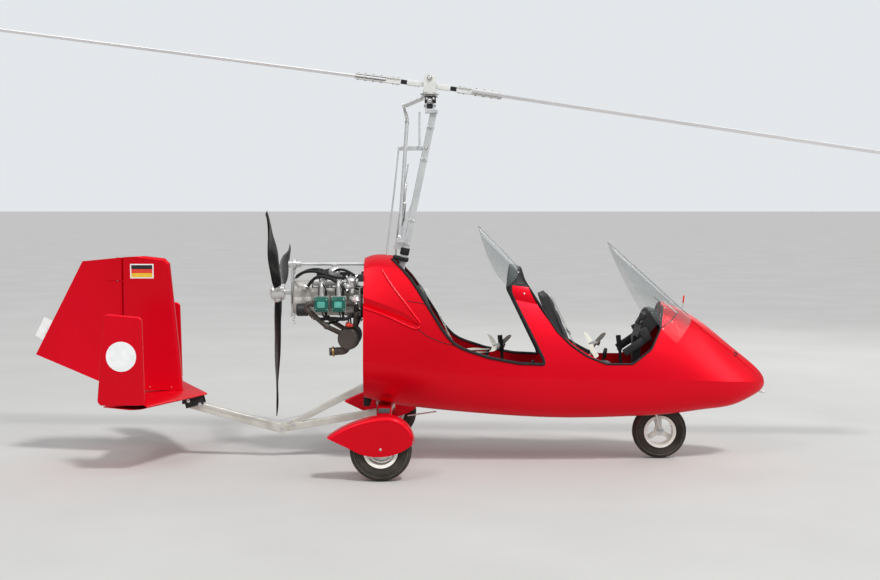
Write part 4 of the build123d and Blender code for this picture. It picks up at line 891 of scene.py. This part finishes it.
dress(cast_alloy, "crankcase", "cylinders", "gearbox")
dress(green_enamel, "valve_covers")
dress(burnt_steel, "exhaust_system")
dress(machined_alloy, "intake_manifold")
dress(mast_silver, "prerotator_drive")
cover_ribs, cover_pads, cover_screws, plugs, leads = [], [], [], [], []
for side in (1, -1):
    for x in (-0.732, -0.617):
        cover_ribs += [block((x, side * (0.3015 + rise), 1.096), (reach, 0.008, depth), 0.0038)
                       for rise, reach, depth in ((0.001, 0.080, 0.082), (0.005, 0.070, 0.072),
                                                  (0.008, 0.058, 0.058))]
        cover_pads.append(block((x, side * 0.3140, 1.094), (0.050, 0.003, 0.040), 0.0014))
        corners = [(x + way * 0.036, side * 0.3025, z) for z in (1.128, 1.062) for way in (-1, 1)]
        cover_screws.append(bolts(corners, (0, side, 0), 0.004, 0.004))
        for level in (1, -1):
            plugs.append(turned([(0, 0.010), (0.012, 0.010), (0.014, 0.007), (0.030, 0.008),
                                 (0.046, 0.007)],
                                (x + 0.026, side * 0.222, 1.095 + level * 0.052),
                                (0.1, side * 0.5, level), 16))
            leads.append(line_of([
                (x + 0.028, side * 0.238, 1.095 + level * 0.092),
                (x + 0.020, side * 0.262, 1.095 + level * 0.128),
                (x - 0.03, side * (0.20 - 0.03 * level), 1.215 + level * 0.040),
                (x - 0.01, side * 0.12, 1.262 + level * 0.012),
                (x + 0.05, side * 0.05, 1.268)], 0.0042))
settle(cover_ribs, "cover_ribs", green_enamel)
settle(cover_pads, "cover_pads", pale_enamel)
settle(cover_screws, "cover_screws", bright_steel)
settle(plugs, "plug_caps", black_rubber)
settle(leads, "ignition_leads", black_rubber)

# Carburettors and coolers round the block: alloy bodies with domed caps and float bowls, the
# air box and coolant flask on top, clamped hoses between them, and two ignition boxes.
carburettor_parts = [
    # rings, place on the left side, direction, sides
    ([(0, 0.026), (0.018, 0.031), (0.046, 0.031), (0.052, 0.034), (0.058, 0.034),
      (0.070, 0.022), (0.074, 0.009)], (-0.535, 0.165, 1.205), (0, 0.25, 1), 28),
    ([(0, 0.022), (0.012, 0.027), (0.040, 0.027), (0.044, 0.020)],
     (-0.535, 0.160, 1.200), (0, 0.1, -1), 24),
    ([(0, 0.019), (0.028, 0.019), (0.030, 0.024), (0.040, 0.024), (0.060, 0.021)],
     (-0.535, 0.180, 1.208), (-0.7, 0.7, 0.1), 24),
    ([(0, 0.026), (0.006, 0.030), (0.012, 0.026), (0.030, 0.026), (0.036, 0.030),
      (0.045, 0.030)], (-0.505, 0.225, 1.150), (0.2, 0.3, -1), 24),
    ([(0, 0.013), (0.02, 0.013), (0.022, 0.017), (0.034, 0.017), (0.036, 0.012),
      (0.05, 0.012)], (-0.500, 0.262, 1.115), (-0.6, 0.5, 0.5), 16),
    ([(0, 0.020), (0.006, 0.024), (0.034, 0.024), (0.040, 0.019)],
     (-0.835, 0.10, 1.195), (-1, 0, 0.2), 24),
]
small_castings = [
    turned(rings, (x, side * y, z), (ahead, side * across, up), sides)
    for side in (1, -1) for rings, (x, y, z), (ahead, across, up), sides in carburettor_parts]
small_castings += [turned([(0, 0.015), (0.010, 0.018), (0.022, 0.018), (0.030, 0.010)],
                          (x, 0.03, 1.245), (0, 0.2, 1), 18)
                   for x in (-0.78, -0.70, -0.62, -0.55)]
small_castings.append(turned([(0, 0.018), (0.008, 0.034), (0.030, 0.042), (0.055, 0.040),
                              (0.074, 0.026), (0.078, 0.020), (0.090, 0.020), (0.094, 0.012)],
                             (-0.66, -0.055, 1.262), (0, 0, 1), 32))
settle(small_castings, "small_castings", machined_alloy)
boxes = [block((-0.72, 0.0, 1.290), (0.13, 0.070, 0.040), 0.006),
         block((-0.60, 0.055, 1.282), (0.09, 0.055, 0.034), 0.005)]
boxes += [block((-0.77 + n * 0.024, 0.0, 1.313), (0.006, 0.064, 0.010), 0.001)
          for n in range(5)]
boxes.append(turned([(0, 0.038), (0.006, 0.043), (0.075, 0.043), (0.082, 0.036),
                     (0.085, 0.020)], (-0.835, -0.105, 1.045), (-0.97, -0.1, 0.0), 32))
boxes += [block((-0.468, y, 1.27), (0.036, 0.07, 0.05), 0.005) for y in (-0.20, 0.20)]
settle(boxes, "ignition_boxes", black_moulding)
hose_runs = [
    # radius, points
    (0.010, [(-0.93, -0.05, 1.262), (-0.89, -0.13, 1.300), (-0.80, -0.16, 1.318),
             (-0.70, -0.15, 1.290), (-0.62, -0.17, 1.262), (-0.55, -0.17, 1.278)]),
    (0.011, [(-0.84, -0.13, 1.20), (-0.80, -0.20, 1.262), (-0.74, -0.21, 1.285),
             (-0.66, -0.20, 1.262), (-0.60, -0.21, 1.215), (-0.55, -0.23, 1.175)]),
    (0.009, [(-0.66, -0.09, 1.31), (-0.62, -0.15, 1.330), (-0.55, -0.18, 1.315),
             (-0.49, -0.19, 1.27)]),
    (0.012, [(-0.80, -0.19, 1.00), (-0.76, -0.23, 0.985), (-0.66, -0.24, 1.000),
             (-0.57, -0.24, 0.985), (-0.52, -0.20, 1.02), (-0.47, -0.16, 1.06)]),
    (0.008, [(-0.80, -0.10, 1.00), (-0.74, -0.16, 0.955), (-0.65, -0.19, 0.960),
             (-0.58, -0.18, 1.00)]),
    (0.012, [(-0.505, -0.235, 1.11), (-0.500, -0.245, 1.06), (-0.50, -0.20, 1.01),
             (-0.47, -0.15, 0.98)]),
    (0.007, [(-0.53, -0.15, 1.275), (-0.56, -0.10, 1.315), (-0.64, -0.02, 1.325),
             (-0.72, 0.04, 1.316)]),
]
hose_runs += [(radius, [(x, -y, z) for x, y, z in run])
              for radius, run in (hose_runs[0], hose_runs[1], hose_runs[3])]
hoses, clips = [], []
for radius, run in hose_runs:
    hoses.append(line_of(run, radius))
    for end, next_to_end in ((run[0], run[1]), (run[-1], run[-2])):
        clips.append(turned([(0.008, radius + 0.0005), (0.009, radius + 0.002),
                             (0.019, radius + 0.002), (0.020, radius + 0.0005)],
                            end, Vector(next_to_end) - Vector(end), 20))
settle(hoses, "engine_hoses", black_rubber)
settle(clips, "hose_clips", bright_steel)
settle(turned([(0, 0.012), (0.004, 0.016), (0.030, 0.016), (0.034, 0.010), (0.050, 0.009)],
              (-0.572, -0.20, 0.955), (0.9, -0.2, -0.25), 20),
       "sender_cap", signal_red)

# Exhaust and engine mounts: the slip joints' collars, a brass-coloured ring on the outlet, the
# muffler's straps, black struts on rubber mounts, and the bolts round the gearbox case.
brass_ring = two_tone("brass_ring", (40, 3), (0.42, 0.27, 0.10), (0.58, 0.42, 0.20), 0.38,
                      Metallic=0.9)
settle(turned([(0, 0.0275), (0.003, 0.035), (0.013, 0.035), (0.016, 0.0275)],
              (-0.655, -0.13, 0.7595), (-0.997, 0, -0.075), 36),
       "outlet_ring", brass_ring)
collars, mount_struts, mount_rubbers = [], [], []
for side in (1, -1):
    collars += [turned([(-0.012, 0.0172), (-0.011, 0.0215), (0.011, 0.0215), (0.012, 0.0172)],
                       (x, side * y, z), way, 24)
                for (x, y, z), way in (((-0.800, 0.233, 1.025), (0.75, 0, -0.65)),
                                       ((-0.700, 0.232, 0.942), (0.8, 0, -0.5)),
                                       ((-0.498, 0.228, 1.030), (-0.05, -side * 0.3, -1)),
                                       ((-0.79, 0.233, 1.095), (-1, 0, 0)))]
    collars += [turned([(-0.012, 0.0742), (-0.011, 0.077), (0.011, 0.077), (0.012, 0.0742)],
                       (-0.556, side * 0.120, 0.851), (0, 1, 0), 48),
                line_of([(-0.556, side * 0.120, 0.924), (-0.56, side * 0.110, 0.97),
                         (-0.565, side * 0.085, 1.006)], 0.006)]
    mount_rubbers += [turned([(-0.012, 0.017), (-0.010, 0.023), (0.006, 0.023), (0.008, 0.017)],
                             (-0.464, side * 0.140, z), (1, 0, 0), 24) for z in (1.015, 1.175)]
    mount_struts += [line_of([(-0.462, side * 0.14, foot), (-0.50, side * 0.135, middle),
                              (-0.54, side * 0.105, end)], 0.009)
                     for foot, middle, end in ((1.175, 1.20, 1.192), (1.015, 0.99, 1.000))]
settle(collars, "exhaust_collars", burnt_steel)
settle(mount_struts, "mount_struts", black_moulding)
settle(mount_rubbers, "mount_rubbers", black_rubber)
shaft_height, crank_height = 1.163, 1.095
case_ring = [(x, y, z + (shaft_height if z > 0 else crank_height)) for x, y, z in
             round_places((-0.9463, 0, 0), 0.072, [360 / 14 * n for n in range(14)], "zy")]
settle([bolts(case_ring, (-1, 0, 0), 0.005, 0.005)]
       + side_bolts([(-0.90, 0.0845, 1.129), (-0.84, 0.0845, 1.129)], 0.005, 0.005),
       "case_bolts", bright_steel)

# The propeller: three black carbon blades clamped in a two-piece alloy hub, and in front of it
# the pre-rotator's plate, chain links and bearings.
black_carbon = two_tone("black_carbon", (5, 4), (0.002, 0.002, 0.0025), (0.005, 0.005, 0.0055),
                        (18, 4, 0.24, 0.42), Coat_Weight=0.05, Specular_IOR_Level=0.16)
dress(black_carbon, "prop_blades")
settle([bolts(round_places((-1.0995, 0, shaft_height), 0.038, range(0, 360, 60), "zy"),
              (-1, 0, 0), 0.006, 0.006),
        turned([(0, 0.024), (0.004, 0.024), (0.012, 0.018), (0.014, 0.008)],
               (-1.0990, 0, shaft_height), (-1, 0, 0), 32)],
       "hub_screws", bright_steel, "propeller")
settle([turned([(0.050, 0.030), (0.066, 0.030), (0.070, 0.024), (0.074, 0.0215)],
               (-1.054, 0, shaft_height),
               (0, -math.sin(math.radians(angle)), math.cos(math.radians(angle))), 28)
        for angle in (50, 170, 290)],
       "blade_cuffs", machined_alloy, "propeller")
settle([block((-0.9585, 0, 1.215), (0.010, 0.052, 0.330), 0.004),
        block((-0.9585, 0, 1.13), (0.008, 0.110, 0.100), 0.004),
        block((-0.954, -0.03, 1.03), (0.014, 0.018, 0.075), 0.003, (0, math.radians(12), 0))],
       "drive_plate", mast_silver)
for n in range(4):
    settle(turned([(0, 0.009), (0.012, 0.009)],
                  (-0.951 + 0.006 * (n % 2), -0.032 - 0.004 * n, 1.010 - 0.02 * n),
                  (1, 0, 0), 14), "drive_link_%d" % n, bright_steel)
settle([turned([(-0.028, 0.020), (-0.024, 0.029), (-0.006, 0.029), (-0.004, 0.036),
                (0.018, 0.036), (0.022, 0.024), (0.050, 0.022), (0.052, 0.014)],
               (-0.945, 0, 1.357), (1, 0, 0), 32),
        block((-0.940, 0, 1.262), (0.012, 0.030, 0.120), 0.003),
        turned([(0, 0.010), (0.016, 0.010), (0.018, 0.015), (0.030, 0.015), (0.032, 0.0115)],
               (-0.480, 0, 1.357), (1, 0, 0), 24)],
       "drive_bearing", machined_alloy)

# The tail: foam and glass-cloth stabilizer and fins, lacquered as the body is, bolted to the
# boom; the rudder swings on two pins and carries a small bent trim plate of painted alloy.
dress(red_lacquer, "stabilizer", "side_fin_left", "side_fin_right", "centre_fin", "rudder",
      "gear_bow", "fender_left", "fender_right")
white_plate = two_tone("white_plate", (26, 3), (0.74, 0.74, 0.73), (0.84, 0.84, 0.83), 0.4)
dress(white_plate, "trim_tab")

# Thin films on the tail: three plain stripes in a white border on both sides of the centre fin,
# and a plain white disc on the outer face of each side fin.
film_black = two_tone("film_black", (30, 2), (0.008, 0.008, 0.009), (0.014, 0.014, 0.015), 0.35)
film_gold = two_tone("film_gold", (30, 2), (0.78, 0.50, 0.03), (0.70, 0.44, 0.02), 0.35)


def decal(node, outline, side, name, finish, lift=0.0):
    """A thin film laid on a tail surface: an outline of (x, z) corners dropped onto it."""
    film = flat_plate(outline, 0, 0.0008, 0.0001)
    for vertex in film.data.vertices:
        place, normal = on_skin(node, vertex.co.x, vertex.co.z, side)
        height = lift + (0.0012 if vertex.co.y * side > 0 else 0.0002)
        vertex.co = place + Vector((0, side * height, 0))
    pick(film)
    edit_all()
    close_edit()
    settle(film, name, finish)


for side, side_name in both_sides:
    front, back, top, foot = -1.915, -2.077, 1.358, 1.258
    margin = 0.008
    decal("centre_fin", [(front, foot), (front, top), (back, top), (back, foot)], side,
          "fin_border_" + side_name, white_plate)
    field = top - foot - 2 * margin
    for number, (finish, low, high) in enumerate(((film_black, 0.667, 1.0),
                                                  (signal_red, 0.333, 0.667),
                                                  (film_gold, 0.0, 0.333))):
        z0, z1 = foot + margin + field * low, foot + margin + field * high
        decal("centre_fin", [(front - margin, z0), (front - margin, z1), (back + margin, z1),
                             (back + margin, z0)], side,
              "fin_stripe_%d_%s" % (number, side_name), finish, 0.0008)
    patch = round_places((-1.998, 0, 0.784), 0.098, range(0, 360, 10), "xz")
    decal("side_fin_" + side_name, [(x, z) for x, y, z in patch], side,
          "side_patch_" + side_name, white_plate)

# The tail's small metal: the fins' screws, the boom's fitting and its bolts, the rudder cables,
# the trim plate's rivets and the covers over the rudder's two hinge slots.
pan_screws([on_skin("centre_fin", x, 0.50, side) for side in (1, -1)
            for x in (-1.80, -1.95, -2.08)], 0.0035, "tail_screws")
settle([block((-1.640, side * 0.0435, 0.392), (0.130, 0.006, 0.050), 0.003,
              (0, math.radians(-15), 0)) for side in (1, -1)],
       "tail_fitting", black_moulding)
settle(side_bolts([(-1.680, 0.0467, 0.404), (-1.600, 0.0467, 0.382)], 0.008, 0.007),
       "tail_bolts", bright_steel)
settle([line_of([(-0.46, side * 0.036, 0.470), (-0.75, side * 0.036, 0.345),
                 (-1.02, side * 0.042, 0.255), (-1.25, side * 0.040, 0.292),
                 (-1.50, side * 0.040, 0.352), (-1.62, side * 0.042, 0.395)], 0.0022)
        for side in (1, -1)], "rudder_cables", mast_silver)
pan_screws([((-2.640 - n * 0.021, side * 0.0017, 0.950 - n * 0.0405), (0, side, 0))
            for n in range(3) for side in (1, -1)], 0.003, "tab_rivets", "rudder")
settle([block((-2.207, 0, height), (0.062, 0.040, 0.0085), 0.0005) for height in (0.620, 1.240)],
       "hinge_slot_covers", red_lacquer, "rudder")

# The main gear: one bow of glass rods and resin across the belly, red, with step pads bonded
# on each leg, held to the keel by a steel clamp and straps, a disc brake inside each wheel.
axle_x = -0.308
settle([block((axle_x, 0, 0.4062), (0.116, 0.106, 0.005), 0.002)]
       + [block((x, y, 0.384), (0.010, 0.012, 0.050), 0.002)
          for x in (-0.250, -0.366) for y in (0.052, -0.052)],
       "bow_clamp", bright_steel)
pads, brake_lines = [], []
for side, side_name in both_sides:
    hit, spot, normal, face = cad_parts["gear_bow"].ray_cast(
        (axle_x, side * 0.30, 0.9), (0, 0, -1))
    pads.append(block(spot + normal * 0.0022, (0.080, 0.075, 0.004), 0.0015))
    pads[-1].rotation_euler = facing(normal)
    brake_lines.append(line_of([(-0.33, side * 0.760, 0.27), (-0.34, side * 0.66, 0.315),
                                (-0.35, side * 0.45, 0.372), (-0.36, side * 0.20, 0.398),
                                (-0.38, side * 0.08, 0.41)], 0.0026))
    settle(turned([(0, 0.030), (0.002, 0.032), (0.010, 0.032), (0.012, 0.085), (0.016, 0.085),
                   (0.018, 0.032), (0.024, 0.032)], (axle_x, side * 0.786, 0.200),
                  (0, side, 0), 48),
           "brake_disc_" + side_name, bright_steel, "wheel_" + side_name)
settle(pads, "step_pads", black_carpet)
settle([block((-0.436, side * 0.085, 0.418), (0.046, 0.030, 0.086), 0.004) for side in (1, -1)],
       "belly_straps", black_rubber)
settle(brake_lines, "brake_lines", black_rubber)
pan_screws([on_skin("fender_" + side_name, axle_x, 0.215, side) for side, side_name
            in both_sides], 0.008, "fender_screws")

# The wheels: cast three-spoke rims painted white, small aircraft tyres with a grooved tread and
# raised rings on the sidewall, three clamp bolts, a valve and a hub cap on each.
white_rim = two_tone("white_rim", (22, 4), (0.88, 0.86, 0.78), (0.95, 0.93, 0.87), 0.38,
                     (200, 2, 0.0002))
tyre_rubber = two_tone("tyre_rubber", (11, 4), (0.016, 0.013, 0.010), (0.048, 0.038, 0.028),
                       (50, 4, 0.7, 0.92), (480, 3, 0.0004))
scuffed_rubber = two_tone("scuffed_rubber", (30, 3), (0.09, 0.085, 0.075), (0.17, 0.16, 0.14),
                          0.8)
dress(white_rim, "nose_wheel_rim", "wheel_left_rim", "wheel_right_rim")


def tyre(name, hub, radius, body, node):
    """A tyre spun from its section: bead, ringed sidewalls and a tread with four grooves."""
    wall_foot, wall_top = 0.125, radius - 0.014
    half = [(0.1003, 0.043), (0.117, 0.0435), (0.121, 0.0475), (0.1235, 0.0475),
            (wall_foot, 0.0465)]
    for share in (0.25, 0.45, 0.5, 0.72, 0.77):
        rise = 0.0026 if share in (0.45, 0.72) else 0
        half.append((wall_foot + (wall_top - wall_foot) * share,
                     0.050 - 0.0015 * share + rise - 0.0025 * (share > 0.6)))
    half += [(radius - 0.012, 0.041), (radius - 0.0075, 0.0335), (radius - 0.0045, 0.0275)]
    for y in (0.0245, 0.0125):
        crown = radius - 0.004 * (y / 0.03) ** 2 - 0.0005
        half += [(crown, y + 0.0022), (crown - 0.0035, y + 0.0014),
                 (crown - 0.0035, y - 0.0014), (crown, y - 0.0022)]
    section = half + [(r, -y) for r, y in reversed(half)]
    ring = fresh(bpy.ops.mesh.primitive_circle_add, vertices=len(section), radius=1)
    for vertex, (r, y) in zip(ring.data.vertices, section):
        vertex.co = (hub[0] + r, hub[1] + y, hub[2])
    edit_all()
    bpy.ops.mesh.spin(steps=72, angle=2 * math.pi, center=hub, axis=(0, 1, 0))
    bpy.ops.mesh.select_all(action="SELECT")
    bpy.ops.mesh.remove_doubles(threshold=0.00005)
    close_edit()
    settle(ring, name, tyre_rubber, body, 40)
    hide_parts(node)


nose_axle, fork_way = (1.604, 0, 0.189), (-0.2368, 0, 0.9716)
wheels = [
    # name, hub, radius, body
    ("nose", nose_axle, 0.189, "nose_wheel"),
    ("left", (axle_x, 0.850, 0.200), 0.200, "wheel_left"),
    ("right", (axle_x, -0.850, 0.200), 0.200, "wheel_right"),
]
for name, hub, radius, body in wheels:
    x, y, z = hub
    tyre("tyre_" + name, hub, radius, body, body + "_tyre")
    settle([fresh(bpy.ops.mesh.primitive_torus_add, major_radius=radius - 0.0265,
                  minor_radius=0.0013, major_segments=72, minor_segments=8,
                  location=(x, y + side * 0.0488, z), rotation=(math.pi / 2, 0, 0))
            for side in (1, -1)], "tyre_rings_" + name, scuffed_rubber, body)
    fittings = []
    for side in (1, -1):
        fittings += [
            bolts(round_places((x, y + side * 0.0175, z), 0.074, (90, 210, 330), "xz"),
                  (0, side, 0), 0.006, 0.006),
            turned([(0.0, 0.0305), (0.003, 0.0305), (0.005, 0.026), (0.0052, 0.014)],
                   (x, y + side * 0.0385, z), (0, side, 0), 28)]
    fittings.append(turned([(0, 0.0045), (0.022, 0.0040), (0.024, 0.0052), (0.032, 0.0052)],
                           (x + 0.085, y - 0.020, z + 0.038), (-0.3, -1, 0.1), 12))
    settle(fittings, "wheel_fittings_" + name, bright_steel, body)
fork_parts = []
fork_rise = 0.178
for side in (1, -1):
    fork_parts += [
        turned([(0, 0.017), (0.002, 0.019), (0.005, 0.019), (0.007, 0.0105)],
               (nose_axle[0], side * 0.0825, nose_axle[2]), (0, side, 0), 24),
        turned([(0, 0.0105), (0.003, 0.0145), (0.026, 0.0145), (0.030, 0.0105)],
               (nose_axle[0] + fork_way[0] * fork_rise, side * 0.072,
                nose_axle[2] + fork_way[2] * fork_rise), fork_way, 24)]
settle(fork_parts, "fork_collars", bright_steel, "nose_fork")
